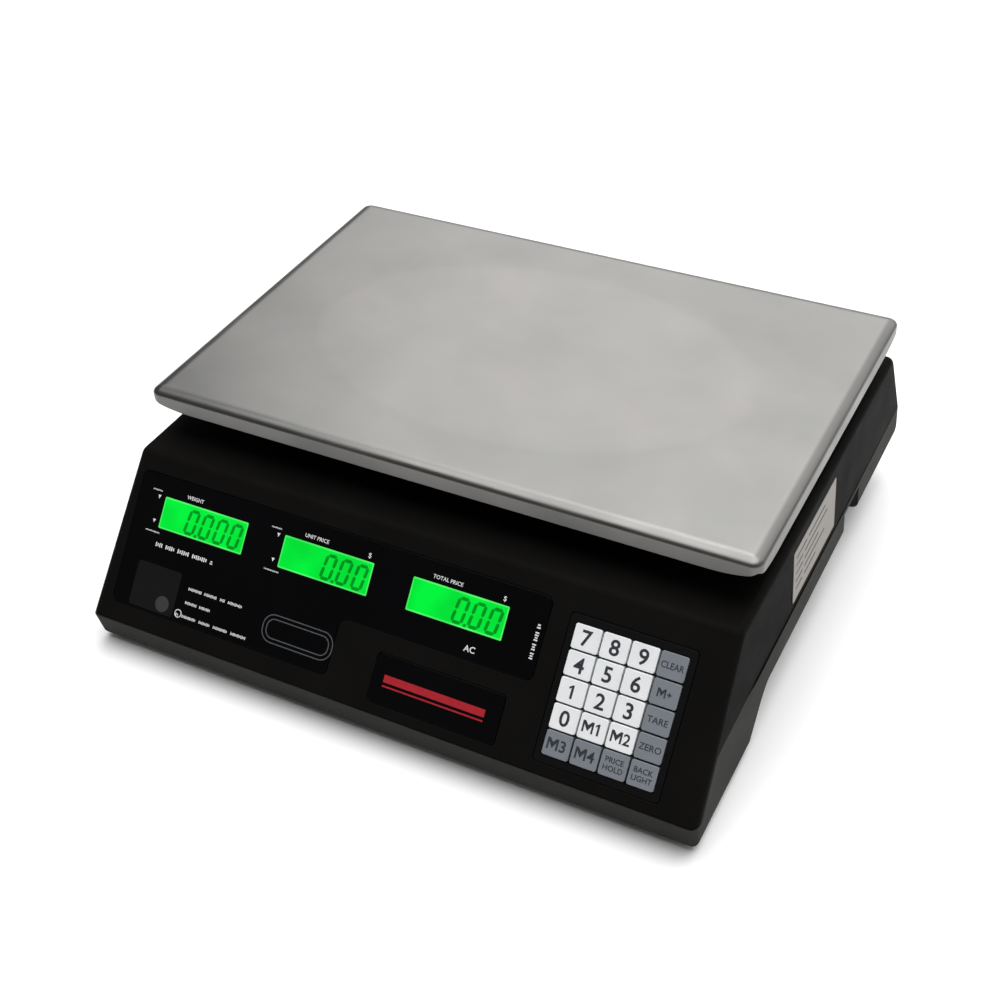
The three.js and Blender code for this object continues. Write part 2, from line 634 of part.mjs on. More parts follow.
function weighingPlatform() {
  piece("platter", surface(platterPan()), stainless, platform);
  const y = platterY;
  const ribBottom = carrierBottom - CARRIER.rib;
  const bars = [
    block(0, y, 2 * CARRIER.reachX, CARRIER.bar, carrierBottom, carrierTop),
    ...[-1, 1].map((side) => block(
      side * CARRIER.reachX, y, CARRIER.crossBar, 2 * CARRIER.reachY + CARRIER.crossBar,
      carrierBottom, carrierTop,
    )),
    ...[-1, 1].map((side) => block(
      0, y + side * (CARRIER.bar / 2 - 2), 2 * CARRIER.reachX, 3, carrierBottom, carrierTop + 4,
    )),
  ];
  const pins = [];
  const cushionBottom = carrierTop + GAP;
  const cushionTop = platterTop - PLATTER.sheet - GAP;
  const pinTop = (cushionBottom + cushionTop) / 2;
  ["left", "right"].forEach((side, i) => {
    ["front", "rear"].forEach((end, j) => {
      const px = (2 * i - 1) * CARRIER.reachX;
      const py = y + (2 * j - 1) * CARRIER.reachY;
      pins.push(solid(rod(px, py, CUSHION.dimple - GAP, carrierTop - 1, pinTop - GAP, 12)));
      const profile = [
        [CUSHION.dimple, cushionBottom], [CUSHION.radius, cushionBottom],
        [CUSHION.radius, cushionTop - 2], [CUSHION.radius - 2, cushionTop], [0, cushionTop],
        [0, pinTop], [CUSHION.dimple, pinTop], [CUSHION.dimple, cushionBottom],
      ].map(([r, z]) => new THREE.Vector2(r, z));
      const geometry = new THREE.LatheGeometry(profile, 16).rotateX(Math.PI / 2);
      const cushion = piece(`platter_cushion_${end}_${side}`, geometry, rubber, platform);
      cushion.position.set(px, py, 0);
    });
  });
  const hub = solid(block(
    spacerX, y, SPACER.length + 8, SPACER.width + 8, ribBottom, carrierBottom + 1,
  ));
  const carrier = joined([...bars.map((bar) => solid(bar)), ...pins, hub]);
  piece("platter_carrier", surface(carrier), castMetal, platform);
  const post = block(
    spacerX, y, SPACER.length, SPACER.width, cellTop + GAP, ribBottom - GAP,
  );
  piece("carrier_post", post, aluminium, platform);
}

// The bar is thinned by two joined bores, so that it bends as a parallelogram under load.
function loadCell() {
  const bar = solid(block(
    0, platterY, LOAD_CELL.length, LOAD_CELL.width, cellBottom, cellTop,
  ));
  const middle = (cellBottom + cellTop) / 2;
  const bores = [-1, 1].map((side) => {
    const bore = new THREE.CylinderGeometry(LOAD_CELL.bore, LOAD_CELL.bore, 2 * LOAD_CELL.width, 16);
    return solid(bore.translate(side * LOAD_CELL.bore * 1.6, platterY, middle));
  });
  const slot = solid(block(
    0, platterY, LOAD_CELL.bore * 3.2, 2 * LOAD_CELL.width, middle - 3, middle + 3,
  ));
  piece("load_cell", surface(cut(bar, [...bores, slot])), aluminium);
}

// ---------------------------------------------------------------- electrics
function electrics() {
  const { x: bx, y: by } = MAIN_BOARD;
  const parts = [
    [bx, by + 30, 30, 30, 4], [bx - 22, by - 20, 16, 24, 3], [bx + 24, by - 30, 12, 12, 12],
    [bx + 22, by + 2, 14, 14, 9], [bx - 10, by - 50, 36, 7, 8],
  ];
  const board = circuitBoard(bx, by, MAIN_BOARD.width, MAIN_BOARD.depth, parts);
  const upright = new THREE.Matrix4().makeScale(1, 1, -1);
  const boardTop = floorTop + MAIN_BOARD.overFloor + BOARD;
  const flipped = surface(board.transform(upright.setPosition(0, 0, boardTop).toArray()));
  piece("main_board", flipped, boardGreen);

  const coverTop = BODY.underside + BODY.wall * 0.6 - GAP;
  const grow = 2 * (BATTERY.play + BATTERY.rebate - GAP);
  piece("battery_cover", block(
    BATTERY.x, BATTERY.y, BATTERY.width + grow, BATTERY.depth + grow, BODY.underside, coverTop,
  ), baseBlack);
  const batteryBottom = coverTop + GAP;
  const batteryTop = batteryBottom + BATTERY.height;
  const terminals = [-1, 1].map((side) => solid(block(
    BATTERY.x + side * 22, BATTERY.y + BATTERY.depth / 2 - 8, 5, 7, batteryTop - 1, batteryTop + 6,
  )));
  const cell = solid(block(
    BATTERY.x, BATTERY.y, BATTERY.width, BATTERY.depth, batteryBottom, batteryTop,
  ));
  piece("battery", surface(joined([cell, ...terminals])), batteryGrey);

  const { x: tx, y: ty } = TRANSFORMER;
  const coreBottom = floorTop + GAP;
  const core = solid(block(
    tx, ty, TRANSFORMER.width, TRANSFORMER.depth - 2 * TRANSFORMER.coil,
    coreBottom, coreBottom + TRANSFORMER.height,
  ));
  const coil = solid(block(
    tx, ty, TRANSFORMER.width / 2, TRANSFORMER.depth,
    coreBottom + 5, coreBottom + TRANSFORMER.height - 5,
  ));
  piece("transformer", surface(core.add(coil)), steelCore);

  const flangePlate = sheet(
    rectangle(SWITCH.length + 2 * SWITCH.flange, SWITCH.height + 2 * SWITCH.flange, 1.5),
    GAP, GAP + SWITCH.sheet,
  );
  const tube = sheet(rectangle(SWITCH.length, SWITCH.height, 0.8), -SWITCH.depth, GAP + 1);
  const hollow = sheet(rectangle(
    SWITCH.length - 2 * SWITCH.wall, SWITCH.height - 2 * SWITCH.wall, 0.5,
  ), SWITCH.wall - SWITCH.depth, 10);
  const switchBody = joined([solid(flangePlate), solid(tube)]).subtract(solid(hollow));
  piece("power_switch_body", surface(switchBody), plasticBlack, switchSeat);

  const half = SWITCH.length / 2 - SWITCH.wall - ROCKER.play;
  const thick = SWITCH.height - 2 * (SWITCH.wall + GAP);
  const rockerSide = outline([
    [-half, -ROCKER.depth, 1], [half, -ROCKER.depth, 1], [half, ROCKER.stand, 0.5],
    [0, ROCKER.stand - half * Math.sin(ROCKER.tilt), 0], [-half, ROCKER.stand, 0.5],
  ]);
  const rockerShape = sheet(rockerSide, -thick / 2, thick / 2).rotateX(Math.PI / 2);
  const rocker = piece("power_switch_rocker", rockerShape, plasticBlack, switchSeat);
  rocker.rotation.y = ROCKER.tilt;
  rocker.position.z = ROCKER.pivot;

  const inletFlange = sheet(
    rectangle(INLET.width + 2 * INLET.flange, INLET.height + 2 * INLET.flange, 3.5),
    GAP, GAP + INLET.sheet,
  );
  const inletTube = sheet(rectangle(INLET.width, INLET.height, 3), -INLET.depth, GAP + 1);
  const socket = sheet(rectangle(
    INLET.width - 2 * INLET.wall, INLET.height - 2 * INLET.wall, 2.5,
  ), GAP + INLET.sheet - INLET.socket, 10);
  const inlet = joined([solid(inletFlange), solid(inletTube)]).subtract(solid(socket));
  piece("power_inlet", surface(inlet), plasticBlack, inletSeat);

  const vial = solid(rod(levelX, levelY, LEVEL.radius, BODY.deck - LEVEL.depth, BODY.deck + 1, 20));
  const rim = solid(rod(
    levelX, levelY, LEVEL.radius + LEVEL.flange, BODY.deck + GAP, BODY.deck + GAP + LEVEL.sheet, 20,
  ));
  piece("spirit_level", surface(vial.add(rim)), levelClear);
}

housing();
feet();
displays();
keypad();
weighingPlatform();
loadCell();
electrics();

export default scale;
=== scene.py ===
"""A price computing counter scale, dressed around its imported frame.

Every piece is worked out from the frame's own nodes, in metres: the script reads a node's corners in
the plane it lies on, and builds the fine surface in the same place.
"""
import json
import logging
from dataclasses import dataclass, field
from enum import Enum

import bpy
import numpy as np
from mathutils import Matrix, Vector

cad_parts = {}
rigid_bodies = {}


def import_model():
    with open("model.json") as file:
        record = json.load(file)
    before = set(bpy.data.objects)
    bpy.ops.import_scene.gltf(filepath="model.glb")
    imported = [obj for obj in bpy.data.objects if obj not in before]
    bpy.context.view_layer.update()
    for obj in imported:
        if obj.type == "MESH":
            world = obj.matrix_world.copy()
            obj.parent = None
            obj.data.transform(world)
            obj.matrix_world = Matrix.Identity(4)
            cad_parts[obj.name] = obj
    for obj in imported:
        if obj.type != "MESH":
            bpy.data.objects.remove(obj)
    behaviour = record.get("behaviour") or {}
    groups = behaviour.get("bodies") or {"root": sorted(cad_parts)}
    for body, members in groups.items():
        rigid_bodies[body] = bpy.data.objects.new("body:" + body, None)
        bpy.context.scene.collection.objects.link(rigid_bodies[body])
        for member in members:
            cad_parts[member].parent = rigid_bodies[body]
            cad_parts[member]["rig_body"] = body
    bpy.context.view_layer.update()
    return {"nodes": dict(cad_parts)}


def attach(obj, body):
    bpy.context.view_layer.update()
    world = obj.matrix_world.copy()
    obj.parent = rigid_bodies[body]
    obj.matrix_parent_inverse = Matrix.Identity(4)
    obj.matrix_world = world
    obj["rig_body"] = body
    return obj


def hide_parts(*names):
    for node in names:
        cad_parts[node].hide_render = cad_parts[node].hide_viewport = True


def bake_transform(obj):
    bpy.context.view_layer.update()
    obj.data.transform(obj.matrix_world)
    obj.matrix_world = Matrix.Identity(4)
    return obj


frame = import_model()
MM = 0.001
LOG = logging.getLogger("scale")
X, Y, Z = np.eye(3)
CORNERS = ("front_left", "rear_left", "front_right", "rear_right")
# A pole of a turned or dished piece is a ring of this radius, closed by a face.
POLE = 0.05 * MM


# ------------------------------------------------------------------ planes and outlines
@dataclass(frozen=True)
class Plane:
    """A flat face's own frame: X to the reader's right, Y up the face and Z out of it."""

    origin: np.ndarray
    x: np.ndarray
    y: np.ndarray
    z: np.ndarray

    def place(self, points: np.ndarray) -> np.ndarray:
        """Points of the plane's frame, given in the row frame."""
        return self.origin + points @ np.stack([self.x, self.y, self.z])

    def local(self, points: np.ndarray) -> np.ndarray:
        """Points of the row frame, given in the plane's frame."""
        return (points - self.origin) @ np.stack([self.x, self.y, self.z]).T

    def matrix(self) -> Matrix:
        """The plane's place as a matrix for text that is turned into a mesh."""
        turn = Matrix([list(row) for row in np.stack([self.x, self.y, self.z]).T]).to_4x4()
        return Matrix.Translation(Vector(self.origin)) @ turn


@dataclass(frozen=True)
class Place:
    """The corners of a node in a plane's frame."""

    low: np.ndarray
    high: np.ndarray

    @property
    def middle(self) -> np.ndarray:
        """Halfway between the corners."""
        return (self.low + self.high) / 2

    @property
    def size(self) -> np.ndarray:
        """From the lowest corner to the highest."""
        return self.high - self.low


def node_points(node: str) -> np.ndarray:
    """The vertices of a node of the frame, in the row frame."""
    mesh = frame["nodes"][node].data
    flat = np.empty(len(mesh.vertices) * 3, np.float32)
    mesh.vertices.foreach_get("co", flat)
    return flat.reshape(-1, 3).astype(float)


def place_of(node: str, plane: "Plane") -> Place:
    """Where a node lies in a plane's frame."""
    points = plane.local(node_points(node))
    return Place(points.min(0), points.max(0))


def fillet(corners: np.ndarray, radii: np.ndarray, steps: int = 6) -> np.ndarray:
    """An outline whose corners are rounded by arcs.

    Each corner of radius r gives way to the arc of a circle that touches both edges: its centre lies
    on the corner's bisector, r / sin(half angle) away, and the arc's points turn evenly about it.

    Args:
        corners: The outline's corners, one row each, anticlockwise.
        radii: The radius at each corner, above 0.
        steps: How many stretches each arc has.

    Returns:
        The outline's points, steps + 1 for each corner.
    """
    before = np.roll(corners, 1, axis=0) - corners
    after = np.roll(corners, -1, axis=0) - corners
    before /= np.linalg.norm(before, axis=1, keepdims=True)
    after /= np.linalg.norm(after, axis=1, keepdims=True)
    half = np.arccos(np.clip((before * after).sum(1), -1, 1)) / 2
    bisector = before + after
    bisector /= np.linalg.norm(bisector, axis=1, keepdims=True)
    centres = corners + bisector * (radii / np.sin(half))[:, None]
    start = corners + before * (radii / np.tan(half))[:, None] - centres
    end = corners + after * (radii / np.tan(half))[:, None] - centres
    from_angle = np.arctan2(start[:, 1], start[:, 0])
    turn = np.arctan2(end[:, 1], end[:, 0]) - from_angle
    turn = (turn + np.pi) % (2 * np.pi) - np.pi
    angles = from_angle[:, None] + turn[:, None] * np.linspace(0, 1, steps + 1)
    ring = np.stack([np.cos(angles), np.sin(angles)], axis=2) * np.asarray(radii)[:, None, None]
    return (centres[:, None] + ring).reshape(-1, 2)


def inset_corners(corners: np.ndarray, inset: float) -> np.ndarray:
    """Corners moved in by the inset along both edges that meet there.

    With unit inward normals a and b of the two edges, a corner moves by inset * (a + b) / (1 + a.b).

    Args:
        corners: The outline's corners, anticlockwise.
        inset: How far the edges move inwards, or outwards below 0.

    Returns:
        The moved corners.
    """
    along = np.roll(corners, -1, axis=0) - corners
    along /= np.linalg.norm(along, axis=1, keepdims=True)
    inward = np.stack([-along[:, 1], along[:, 0]], axis=1)
    last = np.roll(inward, 1, axis=0)
    return corners + (last + inward) * (inset / (1 + (last * inward).sum(1)))[:, None]


def turns_left(corners: np.ndarray) -> np.ndarray:
    """True at each corner where an anticlockwise outline is convex."""
    into = corners - np.roll(corners, 1, axis=0)
    out = np.roll(corners, -1, axis=0) - corners
    return into[:, 0] * out[:, 1] - into[:, 1] * out[:, 0] > 0


@dataclass(frozen=True)
class Outline:
    """Corners with a radius each, which can be grown, shrunk and rounded."""

    corners: np.ndarray
    radii: np.ndarray
    steps: int = 6

    @classmethod
    def rectangle(cls, width: float, height: float, radius: float, x: float = 0, y: float = 0,
                  steps: int = 6) -> "Outline":
        """A rectangle about its middle, with its corners rounded."""
        signs = np.array([[-1, -1], [1, -1], [1, 1], [-1, 1]], float)
        corners = signs * [width / 2, height / 2] + [x, y]
        return cls(corners, np.full(4, radius), steps)

    @classmethod
    def circle(cls, radius: float, x: float = 0, y: float = 0, steps: int = 12) -> "Outline":
        """A circle, as a square whose corners are rounded to the full."""
        return cls.rectangle(2 * radius, 2 * radius, radius * 0.9999, x, y, steps)

    def ring(self, inset: float = 0.0) -> np.ndarray:
        """The outline's points, moved in by the inset: convex radii shrink by it, others grow."""
        change = np.where(turns_left(self.corners), -inset, inset)
        radii = np.maximum(self.radii + change, 0.02 * MM)
        return fillet(inset_corners(self.corners, inset), radii, self.steps)


# ------------------------------------------------------------------ meshes
def grid_faces(rows: int, columns: int, closed: bool = False) -> np.ndarray:
    """Quads of a grid of points whose columns wrap round.

    Args:
        rows: How many rings the grid has.
        columns: How many points each ring has.
        closed: Whether the last ring joins the first.

    Returns:
        One row of four vertex numbers for each quad.
    """
    row = np.arange(rows if closed else rows - 1)[:, None]
    column = np.arange(columns)[None, :]
    here, following = row * columns, (row + 1) % rows * columns
    nearby = (column + 1) % columns
    corners = [here + column, here + nearby, following + nearby, following + column]
    return np.stack(corners, axis=2).reshape(-1, 4)


def linked(name: str, data: bpy.types.ID) -> bpy.types.Object:
    """A new object of a mesh, curve, light or camera, linked to the scene."""
    item = bpy.data.objects.new(name, data)
    bpy.context.scene.collection.objects.link(item)
    return item


def make_piece(name: str, points: np.ndarray, faces: list, materials: list) -> bpy.types.Object:
    """A new mesh object at the origin.

    Args:
        name: The object's name.
        points: Vertices in the row frame, one row each.
        faces: Vertex numbers of each face.
        materials: The materials, in slot order.

    Returns:
        The object, linked to the scene.
    """
    mesh = bpy.data.meshes.new(name)
    mesh.from_pydata(points.tolist(), [], [list(face) for face in faces])
    for material in materials:
        mesh.materials.append(material)
    mesh.validate()
    return linked(name, mesh)


def loft(name: str, rings: np.ndarray, materials: list, closed: bool = False
         ) -> bpy.types.Object:
    """A surface through rings of points, which run anticlockwise as seen from the last ring.

    Args:
        name: The object's name.
        rings: Points as (rings, points in a ring, 3).
        materials: The materials, in slot order.
        closed: Whether the last ring joins the first, as in a frame; if not, a face closes each.

    Returns:
        The object.
    """
    count, size, _ = rings.shape
    faces = grid_faces(count, size, closed).tolist()
    if not closed:
        faces.append(list(range(size - 1, -1, -1)))
        faces.append(list(range((count - 1) * size, count * size)))
    return make_piece(name, rings.reshape(-1, 3), faces, materials)


def carried(outline: Outline, profile: np.ndarray, plane: Plane) -> np.ndarray:
    """Rings of a profile carried round an outline.

    Each row of the profile is an inset from the outline and a height over the plane, and its ring is
    the outline moved in by that inset at that height.

    Args:
        outline: The outline in the plane.
        profile: Rows of (inset, height), from the lowest ring to the highest.
        plane: The plane that the outline lies in.

    Returns:
        The rings' points in the row frame.
    """
    flat = [np.column_stack([ring, np.full(len(ring), height)])
            for ring, height in ((outline.ring(inset), height) for inset, height in profile)]
    return np.stack([plane.place(ring) for ring in flat])


def quarter(radius: float, low: float, high: float, steps: int = 4) -> np.ndarray:
    """A plate's profile: square at its foot, and a quarter circle of the radius at its upper rim."""
    angle = np.linspace(0, np.pi / 2, steps + 1)
    rim = np.column_stack([radius * (1 - np.cos(angle)), high - radius * (1 - np.sin(angle))])
    return np.vstack([[0, low], rim])


def shaded(piece: bpy.types.Object, angle: float = 32) -> bpy.types.Object:
    """Shades a piece smooth, with edges sharper than the angle kept, flat faces kept flat."""
    mesh = piece.data
    mesh.shade_smooth()
    mesh.set_sharp_from_angle(angle=np.radians(angle))
    even = piece.modifiers.new("even_normals", "WEIGHTED_NORMAL")
    even.keep_sharp = True
    even.weight = 80
    return piece


def settle(piece: bpy.types.Object) -> bpy.types.Object:
    """Applies a piece's modifiers, so that its mesh is the finished one."""
    graph = bpy.context.evaluated_depsgraph_get()
    finished = bpy.data.meshes.new_from_object(piece.evaluated_get(graph))
    piece.modifiers.clear()
    old, piece.data = piece.data, finished
    bpy.data.meshes.remove(old)
    return piece


class Cut(Enum):
    """How a boolean joins two solids."""

    REMOVE = "DIFFERENCE"
    ADD = "UNION"
    KEEP = "INTERSECT"


def combine(body: bpy.types.Object, tools: list, how: Cut) -> bpy.types.Object:
    """Cuts or joins a body with closed tools, one after the other, and deletes the tools.

    Args:
        body: The closed mesh that is changed.
        tools: Closed meshes.
        how: What each tool does.

    Returns:
        The body.
    """
    for tool in tools:
        modifier = body.modifiers.new("cut", "BOOLEAN")
        modifier.operation = how.value
        modifier.solver = "EXACT"
        modifier.object = tool
        settle(body)
        bpy.data.objects.remove(tool, do_unlink=True)
    return body


def prism(outline: Outline, low: float, high: float, plane: Plane) -> bpy.types.Object:
    """A closed tool of the outline between two heights."""
    return loft("tool", carried(outline, np.array([[0, low], [0, high]]), plane), [])


def seat(outline: Outline, depth: float, lip: float, plane: Plane, floor_radius: float = 0.3 * MM
         ) -> bpy.types.Object:
    """A closed tool for a recess whose mouth is rounded.

    Its profile rises from the rounded floor, widens over the last lip by a quarter circle, and goes
    on above the face.

    Args:
        outline: The recess's outline below its mouth.
        depth: How far the recess goes in.
        lip: The radius of the mouth's rounding.
        plane: The face that it is cut into.
        floor_radius: The radius between the recess's wall and its floor.

    Returns:
        The tool.
    """
    angle = np.linspace(0, np.pi / 2, 5)
    floor = np.column_stack([floor_radius * (1 - np.sin(angle)),
                             -depth + floor_radius * (1 - np.cos(angle))])
    # The rounding stops just short of the face, so that the tool crosses the face steeply.
    flare = angle * 0.93
    mouth = np.column_stack([-lip * (1 - np.cos(flare)), -lip * (1 - np.sin(flare))])
    above = np.array([[mouth[-1, 0], 8 * MM]])
    return loft("tool", carried(outline, np.vstack([floor, mouth, above]), plane), [])


def turned(name: str, profile: np.ndarray, x: float, y: float, materials: list,
           sides: int = 48) -> bpy.types.Object:
    """A body of revolution about an upright axis.

    A point of the profile (r, z) goes to (x + r cos a, y + r sin a, z) for angles a evenly round.

    Args:
        name: The object's name.
        profile: Rows of (radius, height), from the bottom to the top, on the outside.
        x: The axis's place.
        y: The axis's place.
        materials: The materials, in slot order.
        sides: How many points each ring has.

    Returns:
        The object, closed at both ends.
    """
    angle = np.linspace(0, 2 * np.pi, sides, endpoint=False)
    radius, height = profile[:, 0][:, None], profile[:, 1][:, None]
    rings = np.stack([x + radius * np.cos(angle), y + radius * np.sin(angle),
                      height + 0 * angle], axis=2)
    return loft(name, rings, materials)


def finished(piece: bpy.types.Object, body: str, slot: str | None = None,
             nodes: tuple = ()) -> bpy.types.Object:
    """Attaches a piece to its body, hides the nodes that it stands for, and reports it.

    Args:
        piece: The finished object.
        body: The body that it rides on.
        slot: Not used.
        nodes: The nodes that it stands for.

    Returns:
        The piece.
    """
    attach(piece, body)
    if nodes:
        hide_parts(*nodes)
    LOG.info("%s: %d faces on %s", piece.name, len(piece.data.polygons), body)
    return piece


# ------------------------------------------------------------------ finishes
class Recipe:
    """A material's nodes: one shader, and textures that read Object coordinates in metres."""

    def __init__(self, name: str) -> None:
        """Starts an empty material with its shader and output."""
        self.material = bpy.data.materials.new(name)
        self.material.use_nodes = True
        self.tree = self.material.node_tree
        self.tree.nodes.clear()
        output = self.tree.nodes.new("ShaderNodeOutputMaterial")
        self.shader = self.tree.nodes.new("ShaderNodeBsdfPrincipled")
        self.tree.links.new(self.shader.outputs[0], output.inputs["Surface"])
        self.coordinates = self.tree.nodes.new("ShaderNodeTexCoord").outputs["Object"]

    def set(self, **values: object) -> "Recipe":
        """Sets the shader's own sockets; an underscore in a name stands for a space."""
        for name, value in values.items():
            self.shader.inputs[name.replace("_", " ")].default_value = value
        return self

    def link(self, source: bpy.types.NodeSocket, target: bpy.types.NodeSocket) -> None:
        """Joins two sockets."""
        self.tree.links.new(source, target)

    def stretched(self, scale: tuple, location: tuple = (0, 0, 0), turn: tuple = (0, 0, 0)
                  ) -> bpy.types.NodeSocket:
        """Object coordinates, moved, turned and scaled."""
        mapping = self.tree.nodes.new("ShaderNodeMapping")
        self.link(self.coordinates, mapping.inputs["Vector"])
        mapping.inputs["Location"].default_value = location
        mapping.inputs["Rotation"].default_value = turn
        mapping.inputs["Scale"].default_value = scale
        return mapping.outputs[0]

    def noise(self, size: float, detail: float = 2, vector: bpy.types.NodeSocket | None = None,
              contrast: float = 0.5) -> bpy.types.NodeSocket:
        """A cloud pattern whose lumps are about the size across, in metres."""
        texture = self.tree.nodes.new("ShaderNodeTexNoise")
        self.link(vector or self.coordinates, texture.inputs["Vector"])
        texture.inputs["Scale"].default_value = 1 / size
        texture.inputs["Detail"].default_value = detail
        texture.inputs["Roughness"].default_value = contrast
        return texture.outputs["Fac"]

    def cells(self, size: float) -> bpy.types.NodeSocket:
        """A pattern of small rounded pits about the size across."""
        texture = self.tree.nodes.new("ShaderNodeTexVoronoi")
        texture.feature = "SMOOTH_F1"
        self.link(self.coordinates, texture.inputs["Vector"])
        texture.inputs["Scale"].default_value = 1 / size
        return texture.outputs["Distance"]

    def spread(self, source: bpy.types.NodeSocket, low: float, high: float, start: float = 0.3,
               end: float = 0.7) -> bpy.types.NodeSocket:
        """Maps a pattern's range onto two values."""
        node = self.tree.nodes.new("ShaderNodeMapRange")
        node.interpolation_type = "SMOOTHSTEP"
        self.link(source, node.inputs["Value"])
        for socket, value in zip(("From Min", "From Max", "To Min", "To Max"),
                                 (start, end, low, high)):
            node.inputs[socket].default_value = value
        return node.outputs[0]

    def colours(self, source: bpy.types.NodeSocket, stops: list) -> bpy.types.NodeSocket:
        """Maps a pattern onto colours, given as (position, colour)."""
        ramp = self.tree.nodes.new("ShaderNodeValToRGB").color_ramp
        for position, colour in stops[2:]:
            ramp.elements.new(position)
        for element, (position, colour) in zip(ramp.elements, stops):
            element.position = position
            element.color = (*colour, 1)
        node = self.tree.nodes[-1]
        self.link(source, node.inputs["Fac"])
        return node.outputs["Color"]

    def tinted(self, source: bpy.types.NodeSocket, colour: tuple, low: float, high: float,
               start: float = 0.3, end: float = 0.7) -> bpy.types.NodeSocket:
        """Maps a pattern onto one colour's darker and lighter shade, given as factors."""
        return self.colours(source, [(start, shade(colour, low)), (end, shade(colour, high))])

    def mixed(self, share: float, first: bpy.types.NodeSocket, second: bpy.types.NodeSocket
              ) -> bpy.types.NodeSocket:
        """The first colour with a share of the second."""
        node = self.tree.nodes.new("ShaderNodeMix")
        node.data_type = "RGBA"
        node.inputs["Factor"].default_value = share
        self.link(first, node.inputs["A"])
        self.link(second, node.inputs["B"])
        return node.outputs["Result"]

    def sum(self, first: bpy.types.NodeSocket, second: bpy.types.NodeSocket, share: float
            ) -> bpy.types.NodeSocket:
        """The first pattern plus a share of the second."""
        node = self.tree.nodes.new("ShaderNodeMath")
        node.operation = "MULTIPLY_ADD"
        self.link(second, node.inputs[0])
        node.inputs[1].default_value = share
        self.link(first, node.inputs[2])
        return node.outputs[0]

    def bump(self, height: bpy.types.NodeSocket, depth: float) -> "Recipe":
        """Raises the surface by the pattern times the depth, in metres."""
        node = self.tree.nodes.new("ShaderNodeBump")
        node.inputs["Strength"].default_value = 1.0
        node.inputs["Distance"].default_value = depth
        self.link(height, node.inputs["Height"])
        self.link(node.outputs[0], self.shader.inputs["Normal"])
        return self

    def feed(self, socket: str, source: bpy.types.NodeSocket) -> "Recipe":
        """Lets a pattern set one of the shader's sockets."""
        self.link(source, self.shader.inputs[socket])
        return self


def shade(colour: tuple, factor: float) -> tuple:
    """The colour made lighter or darker."""
    return tuple(min(channel * factor, 1.0) for channel in colour)


@dataclass(frozen=True)
class MouldedPlastic:
    """Injection moulded plastic: spark-eroded grain, faint clouds of tone and rubbed patches."""

    name: str
    colour: tuple
    roughness: float = 0.5
    grain: float = 0.45 * MM
    grain_depth: float = 0.03 * MM
    clouds: float = 0.12
    specular: float = 0.5
    index: float = 1.5

    def make(self) -> bpy.types.Material:
        """The material."""
        recipe = Recipe(self.name).set(Specular_IOR_Level=self.specular, IOR=self.index)
        clouds = recipe.noise(38 * MM, 3)
        recipe.feed("Base Color", recipe.tinted(clouds, self.colour, 1 - self.clouds,
                                                1 + self.clouds))
        rubbed = recipe.sum(recipe.noise(22 * MM, 4), recipe.noise(1.4 * MM, 2), 0.25)
        recipe.feed("Roughness", recipe.spread(rubbed, self.roughness - 0.035,
                                               self.roughness + 0.035, 0.4, 0.85))
        grain = recipe.sum(recipe.noise(self.grain, 2), recipe.cells(self.grain * 1.6), -0.35)
        return recipe.bump(grain, self.grain_depth).material


@dataclass(frozen=True)
class GlossSheet:
    """A polished acrylic plate, printed black on its back: handling marks show in its gloss."""

    name: str
    colour: tuple
    roughness: float = 0.1
    specular: float = 0.5
    index: float = 1.49

    def make(self) -> bpy.types.Material:
        """The material."""
        recipe = Recipe(self.name).set(Specular_IOR_Level=self.specular, IOR=self.index)
        clouds = recipe.noise(55 * MM, 2)
        recipe.feed("Base Color", recipe.tinted(clouds, self.colour, 0.85, 1.15))
        wiped = recipe.stretched((1, 0.25, 0.25), turn=(0, 0, 0.5))
        marks = recipe.sum(recipe.noise(12 * MM, 5, wiped), recipe.noise(0.6 * MM, 1), 0.2)
        recipe.feed("Roughness", recipe.spread(marks, self.roughness, self.roughness + 0.14,
                                               0.45, 0.8))
        return recipe.bump(recipe.noise(30 * MM, 1), 0.02 * MM).material


